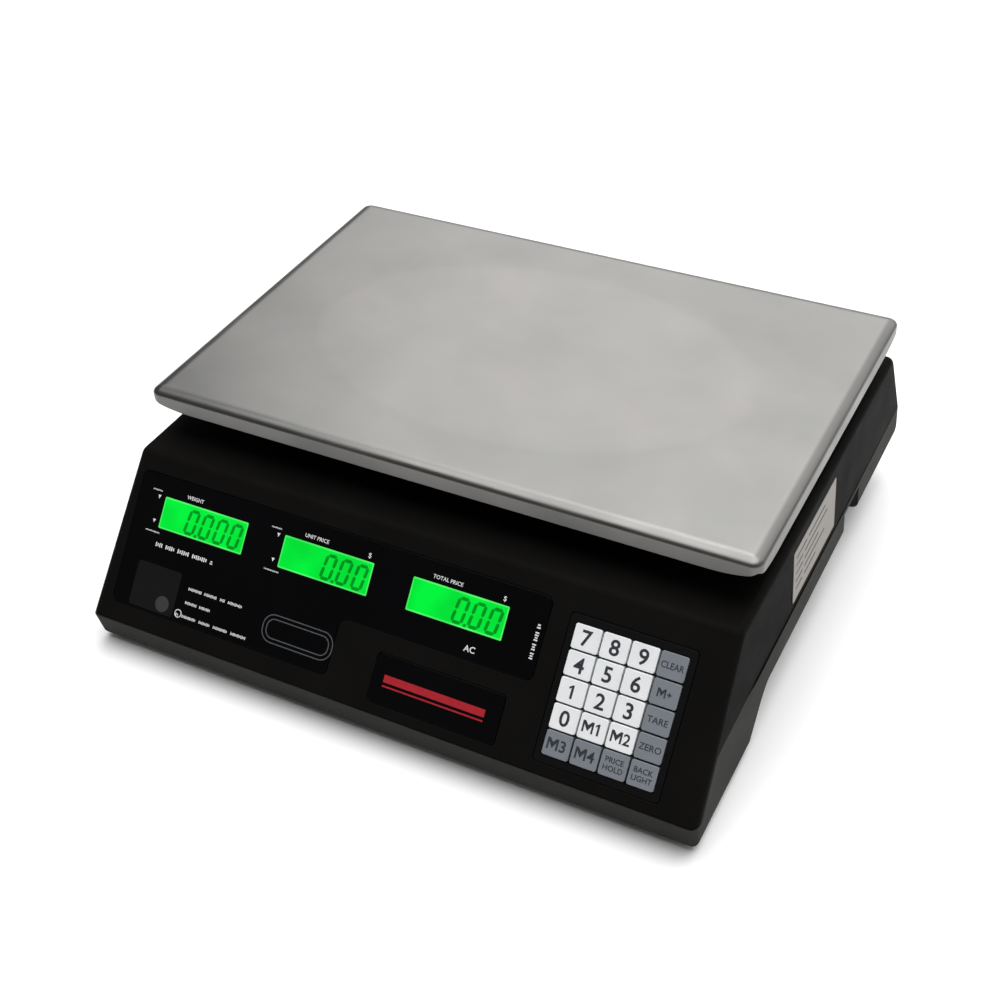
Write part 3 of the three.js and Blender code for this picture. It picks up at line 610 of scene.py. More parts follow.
@dataclass(frozen=True)
class SatinSteel:
    """Rolled stainless sheet: fine lines along the roll, soft patches of tone, a lighter ellipse about
    the middle, and painted shade on the folded edge.
    """

    name: str
    centre: tuple
    ring: tuple = (0.135, 0.088)
    dark: tuple = (0.184, 0.182, 0.176)
    light: tuple = (0.262, 0.256, 0.246)
    warm: tuple = (0.252, 0.239, 0.229)
    cool: tuple = (0.208, 0.217, 0.209)
    inside: tuple = (0.286, 0.277, 0.267)
    outside: tuple = (0.205, 0.203, 0.198)
    warm_share: float = 0.45
    ring_share: float = 0.35
    roughness: float = 0.34
    # Painted shade: where the darkening starts below the top, and how dark the folded edge is painted.
    bend_start: float = 0.4 * MM
    bend_tone: float = 0.62

    def make(self) -> bpy.types.Material:
        """The material."""
        recipe = Recipe(self.name).set(Metallic=1.0, Specular_IOR_Level=0.5)
        patches = recipe.noise(65 * MM, 3, contrast=0.55)
        tones = recipe.colours(patches, [(0.32, self.dark), (0.68, self.light)])
        warmth = recipe.noise(42 * MM, 2, recipe.stretched((1, 1, 1), (0.3, 0.7, 0.1)))
        warm = recipe.colours(warmth, [(0.3, self.warm), (0.7, self.cool)])
        # The tone is lighter inside a soft-edged ellipse about the middle: the distance from that
        # ellipse sets it.
        x, y, z = self.centre
        scale = (1 / self.ring[0], 1 / self.ring[1], 1)
        length = recipe.tree.nodes.new("ShaderNodeVectorMath")
        length.operation = "LENGTH"
        recipe.link(recipe.stretched(scale, (-x * scale[0], -y * scale[1], -z)), length.inputs[0])
        wavering = recipe.sum(length.outputs["Value"], recipe.noise(30 * MM, 2), 0.12)
        near = recipe.colours(wavering, [(0.93, (0, 0, 0)), (1.02, (0.5, 0.5, 0.5))])
        lit = recipe.colours(recipe.spread(near, 0, 1, 0.0, 1.0),
                             [(0.0, self.inside), (1.0, self.outside)])
        tone = recipe.mixed(self.ring_share, recipe.mixed(self.warm_share, tones, warm), lit)
        # Painted shade: the bend and the folded edge are darker than the top, by a scale on the tone
        # that follows the height.
        split = recipe.tree.nodes.new("ShaderNodeSeparateXYZ")
        recipe.link(recipe.coordinates, split.inputs[0])
        height = recipe.spread(split.outputs["Z"], self.bend_tone, 1, z - self.bend_start, z)
        painted_shade_tone = recipe.tree.nodes.new("ShaderNodeVectorMath")
        painted_shade_tone.operation = "SCALE"
        recipe.link(tone, painted_shade_tone.inputs[0])
        recipe.link(height, painted_shade_tone.inputs["Scale"])
        recipe.feed("Base Color", painted_shade_tone.outputs["Vector"])
        rolled = recipe.noise(0.35 * MM, 3, recipe.stretched((0.03, 1, 1)))
        smears = recipe.sum(recipe.noise(48 * MM, 4), rolled, 0.25)
        recipe.feed("Roughness", recipe.spread(smears, self.roughness - 0.05,
                                               self.roughness + 0.07, 0.4, 0.9))
        return recipe.bump(recipe.sum(rolled, recipe.noise(60 * MM, 1), 4), 0.004 * MM).material


@dataclass(frozen=True)
class Metal:
    """Bare or plated metal, with a cast or milled grain."""

    name: str
    colour: tuple
    roughness: float
    grain: float
    grain_depth: float
    stretch: tuple = (1, 1, 1)

    def make(self) -> bpy.types.Material:
        """The material."""
        recipe = Recipe(self.name).set(Metallic=1.0)
        clouds = recipe.noise(14 * MM, 3)
        recipe.feed("Base Color", recipe.tinted(clouds, self.colour, 0.82, 1.12))
        grain = recipe.noise(self.grain, 3, recipe.stretched(self.stretch))
        recipe.feed("Roughness", recipe.spread(grain, self.roughness - 0.08,
                                               self.roughness + 0.1))
        return recipe.bump(grain, self.grain_depth).material


@dataclass(frozen=True)
class Rubber:
    """Matt moulded rubber, with dust in its pores."""

    name: str
    colour: tuple

    def make(self) -> bpy.types.Material:
        """The material."""
        recipe = Recipe(self.name).set(Specular_IOR_Level=0.3)
        dust = recipe.sum(recipe.noise(6 * MM, 4), recipe.noise(0.7 * MM, 2), 0.3)
        recipe.feed("Base Color", recipe.tinted(dust, self.colour, 1, 1.9, 0.45, 0.85))
        recipe.feed("Roughness", recipe.spread(dust, 0.72, 0.9))
        return recipe.bump(recipe.noise(0.3 * MM, 2), 0.04 * MM).material


@dataclass(frozen=True)
class KeyCap:
    """A printed film key: a fine matt tooth, and a faint shine where fingers press."""

    name: str
    colour: tuple

    def make(self) -> bpy.types.Material:
        """The material."""
        recipe = Recipe(self.name).set(Specular_IOR_Level=0.35)
        soil = recipe.noise(9 * MM, 3)
        recipe.feed("Base Color", recipe.tinted(soil, self.colour, 0.95, 1))
        recipe.feed("Roughness", recipe.spread(recipe.noise(5 * MM, 3), 0.38, 0.55))
        return recipe.bump(recipe.noise(0.25 * MM, 2), 0.008 * MM).material


@dataclass(frozen=True)
class LitCrystal:
    """A lit liquid crystal: its light falls off a little between the lamps behind it."""

    name: str
    colour: tuple
    dim: tuple
    strength: float

    def make(self) -> bpy.types.Material:
        """The material."""
        recipe = Recipe(self.name).set(Emission_Strength=self.strength, Roughness=0.3,
                                       Specular_IOR_Level=0.1,
                                       Base_Color=(*shade(self.colour, 0.2), 1))
        lamps = recipe.noise(16 * MM, 1)
        fibres = recipe.noise(0.5 * MM, 2, recipe.stretched((0.2, 1, 1)))
        pattern = recipe.sum(lamps, fibres, 0.12)
        recipe.feed("Emission Color", recipe.colours(pattern, [(0.35, self.dim),
                                                               (0.7, self.colour)]))
        return recipe.bump(fibres, 0.002 * MM).material


@dataclass(frozen=True)
class Ink:
    """Printed ink, a little uneven in cover."""

    name: str
    colour: tuple
    specular: float = 0.3

    def make(self) -> bpy.types.Material:
        """The material."""
        recipe = Recipe(self.name).set(Specular_IOR_Level=self.specular)
        cover = recipe.noise(1.2 * MM, 3)
        recipe.feed("Base Color", recipe.tinted(cover, self.colour, 0.86, 1))
        recipe.feed("Roughness", recipe.spread(cover, 0.5, 0.65))
        return recipe.bump(cover, 0.004 * MM).material


@dataclass(frozen=True)
class CircuitBoard:
    """A lacquered board: tracks show as a fine square maze under the green lacquer."""

    name: str
    colour: tuple

    def make(self) -> bpy.types.Material:
        """The material."""
        recipe = Recipe(self.name).set(Specular_IOR_Level=0.5)
        tracks = recipe.tree.nodes.new("ShaderNodeTexBrick")
        recipe.link(recipe.coordinates, tracks.inputs["Vector"])
        tracks.inputs["Scale"].default_value = 1 / (9 * MM)
        tracks.inputs["Mortar Size"].default_value = 0.045
        tracks.inputs["Color1"].default_value = (*self.colour, 1)
        tracks.inputs["Color2"].default_value = (*shade(self.colour, 0.8), 1)
        tracks.inputs["Mortar"].default_value = (*shade(self.colour, 1.9), 1)
        recipe.feed("Base Color", tracks.outputs["Color"])
        recipe.feed("Roughness", recipe.spread(recipe.noise(6 * MM, 2), 0.3, 0.45))
        return recipe.bump(tracks.outputs["Fac"], 0.03 * MM).material


@dataclass(frozen=True)
class TintedClear:
    """A tinted liquid behind a clear cap."""

    name: str
    colour: tuple

    def make(self) -> bpy.types.Material:
        """The material."""
        recipe = Recipe(self.name).set(Transmission_Weight=0.35, Coat_Weight=0.6,
                                       Coat_Roughness=0.04, Roughness=0.12)
        swirl = recipe.noise(4 * MM, 2)
        recipe.feed("Base Color", recipe.tinted(swirl, self.colour, 0.85, 1))
        return recipe.bump(recipe.noise(3 * MM, 1), 0.01 * MM).material


class Finishes:
    """Every finish of the scale, made once."""

    def __init__(self, platter_middle: tuple) -> None:
        """Makes the materials.

        Args:
            platter_middle: The middle of the platter's top, where the ring in its finish is centred.
        """
        self.housing = MouldedPlastic("housing_abs", (0.0056, 0.0052, 0.0049), 0.56,
                                      index=1.07).make()
        # Painted light: the lower shell's black plastic is paler than the upper shell's, to stand for
        # the light that falls on the chin.
        self.base = MouldedPlastic("base_abs_painted_light", (0.0330, 0.0330, 0.0300), 0.56,
                                   index=1.1).make()
        self.window = GlossSheet("window_acrylic", (0.0018, 0.0018, 0.0022), 0.1, 0.5,
                                 1.16).make()
        self.steel = SatinSteel("satin_stainless", platter_middle).make()
        self.cast = Metal("cast_alloy", (0.42, 0.43, 0.44), 0.5, 1.1 * MM, 0.12 * MM).make()
        self.aluminium = Metal("milled_aluminium", (0.55, 0.56, 0.57), 0.36, 0.3 * MM, 0.02 * MM,
                               (0.1, 1, 1)).make()
        self.zinc = Metal("plated_steel", (0.42, 0.42, 0.41), 0.35, 0.4 * MM, 0.02 * MM).make()
        self.core = Metal("laminated_core", (0.16, 0.16, 0.165), 0.5, 0.5 * MM, 0.1 * MM,
                          (0.1, 0.1, 1)).make()
        self.rubber = Rubber("foot_rubber", (0.012, 0.012, 0.012)).make()
        self.key_white = KeyCap("key_white", (0.80, 0.81, 0.82)).make()
        self.key_grey = KeyCap("key_grey", (0.185, 0.20, 0.225)).make()
        self.glow = LitCrystal("lit_crystal", (0.0, 0.80, 0.042), (0.0, 0.62, 0.03), 0.94).make()
        self.glow_rim = LitCrystal("lit_rim", (0.10, 0.92, 0.16), (0.05, 0.74, 0.09), 0.9).make()
        self.segment = LitCrystal("dark_segment", (0.0, 0.27, 0.014), (0.0, 0.20, 0.010),
                                  1.0).make()
        self.board = CircuitBoard("circuit_board", (0.008, 0.085, 0.03)).make()
        self.case_grey = MouldedPlastic("battery_case", (0.085, 0.09, 0.095), 0.5,
                                        clouds=0.08).make()
        self.black = MouldedPlastic("black_plastic", (0.0045, 0.0045, 0.0045), 0.5,
                                    index=1.15).make()
        self.level = TintedClear("level_fluid", (0.45, 0.62, 0.08)).make()
        # Painted shade: the white label's paper is darkened to stand for the shade on the right wall.
        self.paper = Ink("label_paper_painted_shade", (0.31, 0.29, 0.268)).make()
        self.print_white = Ink("print_white", (0.75, 0.76, 0.76)).make()
        self.print_grey = Ink("print_grey", (0.075, 0.078, 0.082)).make()
        self.print_dark = Ink("print_dark", (0.028, 0.032, 0.04)).make()
        self.print_red = Ink("print_red", (0.40, 0.010, 0.020)).make()
        self.foil = Ink("seal_foil", (0.0042, 0.0044, 0.0046), specular=0.12).make()
        self.foil_spot = Ink("seal_spot", (0.040, 0.041, 0.041), specular=0.2).make()


# ------------------------------------------------------------------ housing
@dataclass
class Housing:
    """The two moulded shells, which meet in a joint round the sides and the rear.

    The side view is an outline in Y and Z; it is carried across the scale along X, moved in near
    both ends so that the side walls' edges are round, and the walls lean in above the skirt.
    """

    half_width: float = 173 * MM
    half_depth: float = 162.5 * MM
    deck: float = 91 * MM
    underside: float = 4 * MM
    wall: float = 2.6 * MM
    lean_run: float = 3.8 * MM
    edge: float = 4 * MM
    panel_run: float = 60 * MM
    chin: float = 15.2 * MM
    chin_run: float = 3.5 * MM
    rear_run: float = 21.1 * MM
    rear_height: float = 45.5 * MM
    skirt: float = 26 * MM
    cheek: float = 74.5 * MM
    cheek_run: float = 18 * MM
    plinth_inset: float = 14 * MM
    plinth_corner: float = 10 * MM
    joint_rear: float = 47 * MM
    joint_front: float = 42.6 * MM
    joint_panel: float = 8 * MM
    joint: float = 0.8 * MM
    notch_length: float = 26 * MM
    notch_middle: float = 69 * MM
    notch_top: float = 41 * MM
    lip: float = 0.45 * MM
    far: float = 400 * MM
    label_recess: float = 0.5 * MM

    @property
    def ridge(self) -> float:
        """Where the front panel meets the deck."""
        return self.panel_run - self.half_depth

    @property
    def chin_top(self) -> float:
        """Where the front panel starts."""
        return self.underside + self.chin

    @property
    def front(self) -> Plane:
        """The front panel, from the ridge down."""
        angle = np.arctan2(self.deck - self.chin_top, self.panel_run)
        return Plane(np.array([0, self.ridge, self.deck]), X,
                     np.array([0, np.cos(angle), np.sin(angle)]),
                     np.array([0, -np.sin(angle), np.cos(angle)]))

    @property
    def rear(self) -> Plane:
        """The customer's panel, seen from behind."""
        angle = np.arctan2(self.deck - self.rear_height, self.rear_run)
        return Plane(np.array([0, self.half_depth - self.rear_run, self.deck]), -X,
                     np.array([0, -np.cos(angle), np.sin(angle)]),
                     np.array([0, np.sin(angle), np.cos(angle)]))

    @property
    def right(self) -> Plane:
        """The right wall above the skirt."""
        angle = np.arctan2(self.lean_run, self.deck - self.skirt)
        return Plane(np.array([self.half_width, 0, self.skirt]), Y,
                     np.array([-np.sin(angle), 0, np.cos(angle)]),
                     np.array([np.cos(angle), 0, np.sin(angle)]))

    @property
    def plinth_right(self) -> Plane:
        """The plinth's right wall, where the switch is."""
        return Plane(X * (self.half_width - self.plinth_inset), Y, Z, X)

    @property
    def plinth_rear(self) -> Plane:
        """The plinth's rear wall, where the inlet is."""
        return Plane(Y * (self.half_depth - self.plinth_inset), -X, Z, Y)

    @property
    def table(self) -> Plane:
        """The table: the row frame itself."""
        return Plane(np.zeros(3), X, Y, Z)

    def side_view(self) -> Outline:
        """The outline in Y and Z, anticlockwise seen from the right."""
        back = self.half_depth
        corners = np.array([
            [self.chin_run - back, self.underside], [self.cheek - back, self.underside],
            [self.cheek + self.cheek_run - back, self.skirt], [back, self.skirt],
            [back, self.rear_height], [back - self.rear_run, self.deck],
            [self.ridge, self.deck], [-back, self.chin_top],
        ])
        radii = np.array([1.2, 0.8, 14, 7, 2.5, 8, 6, 1.2]) * MM
        return Outline(corners, radii, steps=8)

    def body(self, inset: float) -> bpy.types.Object:
        """The housing's solid, or its hollow where the inset is the wall.

        A ring at x is the side view moved in by i(x), where i follows a quarter circle of the edge's
        radius near both ends. A point at height z then moves to x * (1 - lean * z / half width),
        with z counted from the skirt's edge.

        Args:
            inset: How far the solid's faces lie inside the outer ones.

        Returns:
            A closed tool.
        """
        edge = max(self.edge - inset, 1.2 * MM)
        half = self.half_width - inset
        angle = np.linspace(0, np.pi / 2, 8)
        rim = np.column_stack([edge * (1 - np.sin(angle)), half - edge * (1 - np.cos(angle))])
        stations = np.vstack([rim[:, :2], rim[::-1] * [1, -1]])[:, [1, 0]]
        outline = self.side_view()
        rings = []
        for x, extra in stations[::-1]:
            ring = outline.ring(inset + extra)
            lean = self.lean_run / (self.deck - self.skirt)
            narrowing = lean * np.maximum(ring[:, 1] - self.skirt, 0) / self.half_width
            rings.append(np.column_stack([x * (1 - narrowing), ring]))
        return loft("body", np.stack(rings), [])

    def plinth(self, inset: float) -> bpy.types.Object:
        """The box under the skirts, or its hollow."""
        front = self.cheek / 2 - self.half_depth + inset
        rear = self.half_depth - self.plinth_inset - inset
        half = self.half_width - self.plinth_inset - inset
        plan = Outline.rectangle(2 * half, rear - front, self.plinth_corner - inset, 0,
                                 (front + rear) / 2)
        foot = self.underside + inset
        top = self.skirt + self.wall + self.edge + inset
        profile = np.vstack([[[0.8 * MM, foot], [0.25 * MM, foot + 0.25 * MM], [0, foot + 0.8 * MM]],
                             [[0, top]]])
        return loft("plinth", carried(plan, profile, self.table), [])

    def notch(self, wall: float) -> bpy.types.Object:
        """The notch in the right skirt, grown by the wall that lines it."""
        inner = self.half_width - self.plinth_inset - wall
        width = self.notch_length + 2 * wall
        plan = Outline.rectangle(self.far, width, 0.4 * MM, inner + self.far / 2, self.notch_middle)
        return prism(plan, -self.far, self.notch_top + wall, self.table)

    def side_of_joint(self, sign: int) -> bpy.types.Object:
        """Everything above or below the joint, short of half its width."""
        shift = sign * self.joint / 2
        slope = self.panel_run / (self.deck - self.chin_top)
        at_front = self.ridge + self.joint_panel - (self.deck - self.joint_front) * slope
        at_chin = self.ridge + self.joint_panel - (self.deck - self.chin_top) * slope
        low = self.chin_top + self.joint / 2 + shift
        corners = np.array([
            [self.far, self.joint_rear + shift], [at_front, self.joint_front + shift],
            [at_chin, low], [-self.far, low], [-self.far, sign * self.far],
            [self.far, sign * self.far],
        ])
        ring = corners if sign < 0 else corners[::-1]
        rings = [np.column_stack([np.full(len(ring), x), ring]) for x in (-self.far, self.far)]
        return loft("side", np.stack(rings), [])

    def shell(self) -> bpy.types.Object:
        """Both shells as one: the outer solid less its hollow."""
        outer = combine(self.body(0), [self.plinth(0)], Cut.ADD)
        combine(outer, [self.notch(0)], Cut.REMOVE)
        hollow = combine(self.body(self.wall), [self.plinth(self.wall)], Cut.ADD)
        combine(hollow, [self.notch(self.wall)], Cut.REMOVE)
        return combine(outer, [hollow], Cut.REMOVE)

    def face_seats(self, fascia: "Fascia") -> list:
        """The recesses for the windows, the badge, the keys and the label, with rounded mouths."""
        sunk = fascia.seat_depth
        tools = [
            seat(fascia.window_outline(0), sunk, self.lip, self.front),
            seat(fascia.badge_outline(0), sunk, self.lip, self.front),
            seat(fascia.keypad_outline(0), 1.5 * MM, self.lip, self.front),
            prism(fascia.keypad_outline(2 * MM), -10 * MM, 2 * MM, self.front),
            seat(fascia.rear_outline(0), sunk, self.lip, self.rear),
            seat(fascia.label_outline(-0.3 * MM), self.label_recess, 0.2 * MM, self.right, 0.1 * MM),
        ]
        for end, plane in (("front", self.front), ("rear", self.rear)):
            tools += [prism(outline, -13 * MM, 2 * MM, plane)
                      for outline in fascia.display_outlines(end, 1 * MM)]
        return tools

    def build(self, fascia: "Fascia", finishes: Finishes) -> None:
        """Builds both shells and their screws."""
        upper = self.shell()
        lower = upper.copy()
        lower.data = upper.data.copy()
        bpy.context.scene.collection.objects.link(lower)
        upper.name, lower.name = "upper_shell", "lower_shell"

        combine(upper, [self.side_of_joint(1)], Cut.KEEP)
        post = place_of("carrier_post", self.table)
        room = 5 * MM
        opening = Outline.rectangle(post.size[0] + 2 * room, post.size[1] + 2 * room, 2 * MM,
                                    *post.middle[:2])
        level = place_of("spirit_level", self.table)
        vial = Outline.circle(level.size[0] / 2 - 1.7 * MM, *level.middle[:2])
        holes = [prism(outline, self.deck - 8 * MM, self.deck + 8 * MM, self.table)
                 for outline in (opening, vial)]
        combine(upper, holes + self.face_seats(fascia), Cut.REMOVE)
        upper.data.materials.append(finishes.housing)
        finished(shaded(upper), "housing", "housing_black", ("upper_housing",))

        combine(lower, [self.side_of_joint(-1)], Cut.KEEP)
        combine(lower, self.lower_holes(), Cut.REMOVE)
        lower.data.materials.append(finishes.base)
        finished(shaded(lower), "housing", "base_black", ("lower_housing",))
        self.tongue(finishes)
        self.screws(finishes)

    def lower_holes(self) -> list:
        """The battery hatch, the wells of the screws and feet, and the switch's and inlet's holes."""
        floor_top = self.underside + self.wall
        hatch = place_of("battery_cover", self.table)
        gap = 0.3 * MM
        outer = Outline.rectangle(hatch.size[0] + 2 * gap, hatch.size[1] + 2 * gap, 1.5 * MM,
                                  *hatch.middle[:2])
        inner = Outline.rectangle(hatch.size[0] - 5.4 * MM, hatch.size[1] - 5.4 * MM, 1 * MM,
                                  *hatch.middle[:2])
        tools = [prism(outer, -1 * MM, self.underside + 0.6 * self.wall, self.table),
                 prism(inner, -1 * MM, floor_top + 2 * MM, self.table)]
        for corner in CORNERS:
            screw = place_of(f"housing_screw_{corner}", self.table)
            well = Outline.circle(screw.size[0] / 2 + gap, *screw.middle[:2])
            tools.append(prism(well, -1 * MM, floor_top + 1 * MM, self.table))
            foot = place_of(f"{corner}_foot", self.table)
            stud = Outline.circle(4 * MM + gap, *foot.middle[:2])
            tools.append(prism(stud, -1 * MM, floor_top + 1 * MM, self.table))
        for node, plane, width, height, corner in (
                ("power_switch_body", self.plinth_right, 21.6 * MM, 15.6 * MM, 1 * MM),
                ("power_inlet", self.plinth_rear, 23.6 * MM, 11.6 * MM, 3 * MM)):
            middle = place_of(node, plane).middle[:2]
            tools.append(prism(Outline.rectangle(width, height, corner, *middle), -5 * MM,
                               5 * MM, plane))
        return tools

    def tongue(self, finishes: Finishes) -> None:
        """The lower shell's tongue, which stands behind the joint and keeps the light out.

        It is a band that follows the side walls and the rear at the joint's height, just inside the
        wall, from a closed path in plan swept with a thin upright section.
        """
        inside = self.wall + 0.3 * MM
        front = self.ridge + 2 * MM
        rear = self.half_depth - inside
        half = self.half_width - inside - 1.2 * MM
        plan = Outline.rectangle(2 * half, rear - front, 6 * MM, 0, (front + rear) / 2)
        low, high = self.joint_rear - 7.5 * MM, self.joint_rear + 2.2 * MM
        profile = np.array([[0, low], [0, high], [1.2 * MM, high], [1.2 * MM, low]])
        rings = carried(plan, profile, self.table)
        band = loft("joint_tongue", rings, [finishes.base], closed=True)
        finished(shaded(band), "housing", "base_black")

    def screws(self, finishes: Finishes) -> None:
        """Pan-head screws in their wells, each with a cross recess."""
        for corner in CORNERS:
            node = f"housing_screw_{corner}"
            screw = place_of(node, self.table)
            x, y = screw.middle[:2]
            low, top = screw.low[2], screw.high[2]
            radius = screw.size[0] / 2
            angle = np.linspace(0, np.pi / 2, 6)
            crown = np.column_stack([radius * np.sin(angle), low + 1.1 * MM * (1 - np.cos(angle))])
            head_top = low + 2.4 * MM
            profile = np.vstack([crown[1:], [[radius, head_top], [1.5 * MM, head_top],
                                             [1.5 * MM, top - 1 * MM], [0.3 * MM, top]]])
            piece = turned(f"{node}_turned", np.vstack([[POLE, low], profile]), x, y,
                           [finishes.zinc], 32)
            slots = [prism(Outline.rectangle(width, height, 0.2 * MM, x, y), low - 1 * MM,
                           low + 1.4 * MM, self.table)
                     for width, height in ((4 * MM, 0.9 * MM), (0.9 * MM, 4 * MM))]
            combine(piece, slots, Cut.REMOVE)
            finished(shaded(piece), "housing", "zinc_plate", (node,))


# ------------------------------------------------------------------ fascia
@dataclass
class Fascia:
    """The windows, displays, badge, label and prints on the housing's faces."""

    housing: Housing
    finishes: Finishes
    seat_depth: float = 1.3 * MM
    corner: float = 4 * MM
    step_width: float = 135 * MM
    narrow: float = 42.1 * MM
    play: float = 0.3 * MM
    relief: float = 0.06 * MM
    capital: float = 0.73
    captions: tuple = ("WEIGHT", "UNIT PRICE", "TOTAL PRICE")
    names: tuple = ("weight", "unit_price", "total_price")
    figures: tuple = ("0.000", "0.00", "0.00")

    def window_outline(self, play: float) -> Outline:
        """The front window's L, moved in by the play from its seat."""
        window = place_of("front_display_window", self.housing.front)
        low, high = window.low - self.play, window.high + self.play
        step = low[0] + self.step_width
        knee = high[1] - self.narrow
        corners = np.array([[low[0], low[1]], [step, low[1]], [step, knee], [high[0], knee],
                            [high[0], high[1]], [low[0], high[1]]])
        outline = Outline(corners, np.full(6, self.corner))
        return Outline(inset_corners(outline.corners, play), outline.radii)

    def plate_outline(self, node: str, plane: Plane, corner: float, play: float) -> Outline:
        """A rectangular plate's seat, moved in by the play."""
        plate = place_of(node, plane)
        width, height = plate.size[:2] + 2 * (self.play - play)
        return Outline.rectangle(width, height, corner, *plate.middle[:2])

    def badge_outline(self, play: float) -> Outline:
        """The badge's seat."""
        return self.plate_outline("badge_plate", self.housing.front, 2.5 * MM, play)

    def keypad_outline(self, play: float) -> Outline:
        """The keypad's seat."""
        return self.plate_outline("keypad_frame", self.housing.front, 2 * MM, play)

    def rear_outline(self, play: float) -> Outline:
        """The customer's window's seat."""
        return self.plate_outline("rear_display_window", self.housing.rear, self.corner, play)

    def label_outline(self, play: float) -> Outline:
        """The side label, moved in by the play."""
        label = place_of("side_label", self.housing.right)
        return Outline.rectangle(label.size[0] - 2 * play, label.size[1] - 2 * play, 1 * MM,
                                 *label.middle[:2])

    def display_places(self, end: str) -> list:
        """Where the three displays of one end lie, as their glass's middle and size.

        A display's node is its glass on a wider back, so the glass is the node less the border.
        """
        plane = self.housing.front if end == "front" else self.housing.rear
        border = 3.5 * MM
        places = [place_of(f"{end}_{name}_display", plane) for name in self.names]
        return [(place.middle[:2], place.size[:2] - 2 * border) for place in places]

    def display_outlines(self, end: str, play: float) -> list:
        """The cut-outs round the displays' glass, wider by the play."""
        return [Outline.rectangle(size[0] + 2 * play, size[1] + 2 * play, 0.6 * MM, *middle)
                for middle, size in self.display_places(end)]

    def plate(self, name: str, outline: Outline, plane: Plane, node: str, holes: list) -> None:
        """A thin acrylic plate with a rounded rim and its display cut-outs."""
        place = place_of(node, plane)
        profile = quarter(0.25 * MM, place.low[2], place.high[2])
        piece = loft(name, carried(outline, profile, plane), [self.finishes.window])
        combine(piece, [prism(hole, place.low[2] - 1 * MM, 2 * MM, plane) for hole in holes],
                Cut.REMOVE)
        finished(shaded(piece), "housing", "window_black", (node,))

    def display(self, end: str, index: int) -> None:
        """One display: a glass whose face is just under the window, and its lit digits.

        The glass is a plate with a rounded rim; its top face is lit, and the ring round it is a
        paler green. Its back is wider and holds the lamps.
        """
        plane = self.housing.front if end == "front" else self.housing.rear
        node = f"{end}_{self.names[index]}_display"
        middle, size = self.display_places(end)[index]
        place = place_of(node, plane)
        face = -0.22 * MM
        outline = Outline.rectangle(*size, 0.6 * MM, *middle, steps=4)
        back = Outline.rectangle(*(place.size[:2]), 0.8 * MM, *place.middle[:2], steps=4)
        shelf = place.low[2] + 5 * MM
        lower = carried(back, np.array([[0.4 * MM, place.low[2]], [0, place.low[2] + 0.4 * MM],
                                        [0, shelf]]), plane)
        upper = carried(outline, np.array([[0, shelf], [0, face - 0.3 * MM],
                                           [0.12 * MM, face - 0.05 * MM], [0.3 * MM, face],
                                           [0.75 * MM, face]]), plane)
        rings = np.concatenate([lower, upper])
        piece = loft(f"{node}_glass", rings, [self.finishes.glow, self.finishes.glow_rim,
                                              self.finishes.black])
        count = rings.shape[1]
        slots = np.zeros(len(piece.data.polygons), np.int32)
        slots[:3 * count] = 2
        slots[3 * count:7 * count] = 1
        slots[-2] = 2
        piece.data.polygons.foreach_set("material_index", slots)
        finished(shaded(piece), "housing", "lcd_green", (node,))
        self.digits(f"{end}_{self.names[index]}_digits", self.figures[index], plane, middle, size,
                    face)

    def digits(self, name: str, figures: str, plane: Plane, middle: np.ndarray, size: np.ndarray,
               face: float) -> None:
        """Seven-segment figures, ranged right and leaning right.

        Every segment is a hexagon about its own middle; all of them are placed as one array, then
        sheared by the slant times their height.
        """
        height, width, thick, slant = 13.8 * MM, 6.9 * MM, 1.75 * MM, 0.14
        pitch, reach, gap = 9.1 * MM, (width - thick) / 2, 0.12 * MM
        tall = (height - thick) / 4
        bar = np.array([[-1, 0], [-1, -1], [1, -1], [1, 0], [1, 1], [-1, 1]], float)
        flat = bar * [reach - gap - thick / 2, thick / 2]
        flat[[0, 3], 0] = [-(reach - gap), reach - gap]
        upright = bar * [tall - gap - thick / 2, thick / 2]
        upright[[0, 3], 0] = [-(tall - gap), tall - gap]
        upright = upright[:, ::-1] * [-1, 1]
        centres = {"top": (0, 2 * tall), "low": (0, -2 * tall), "a": (-reach, tall),
                   "b": (reach, tall), "c": (-reach, -tall), "d": (reach, -tall)}
        shapes = []
        cursor = middle[0] + size[0] / 2 - 2.6 * MM - width / 2
        for mark in reversed(figures):
            if mark == ".":
                dot = bar * 0.8 * MM
                shapes.append(dot + [cursor + pitch / 2 + 0.2 * MM, -height / 2 + 0.6 * MM])
                continue
            for key, (x, y) in centres.items():
                segment = flat if key in ("top", "low") else upright
                shapes.append(segment + [cursor + x, y])
            cursor -= pitch
        points = np.stack(shapes)
        points[:, :, 0] += slant * points[:, :, 1]
        points[:, :, 1] += middle[1] - 0.6 * MM
        self.flat_marks(name, points, plane, face, self.finishes.segment, 0.02 * MM)

    def flat_marks(self, name: str, shapes: np.ndarray, plane: Plane, face: float,
                   material: bpy.types.Material, relief: float | None = None,
                   body: str = "housing") -> bpy.types.Object:
        """Many small flat solids as one mesh.

        Args:
            name: The object's name.
            shapes: Outlines as (shapes, points in a shape, 2), anticlockwise in the plane.
            plane: The face that they are printed on.
            face: The height of that face over the plane.
            material: Their ink.
            relief: How far they stand out, or None for the usual ink.
            body: The body that they ride on.

        Returns:
            The object.
        """
        relief = relief or self.relief
        count, sides, _ = shapes.shape
        levels = []
        for height in (face - 0.05 * MM, face + relief):
            flat = np.concatenate([shapes, np.full((count, sides, 1), height)], axis=2)
            levels.append(plane.place(flat.reshape(-1, 3)).reshape(count, sides, 3))
        points = np.stack(levels, axis=1).reshape(-1, 3)
        ring = grid_faces(2, sides)
        starts = np.arange(count)[:, None, None] * 2 * sides
        walls = (ring[None] + starts).reshape(-1, 4).tolist()
        order = np.arange(sides)
        lids = (order[None] + sides + starts[:, 0]).tolist()
        feet = (order[::-1][None] + starts[:, 0]).tolist()
        piece = make_piece(name, points, walls + lids + feet, [material])
        return finished(piece, body)

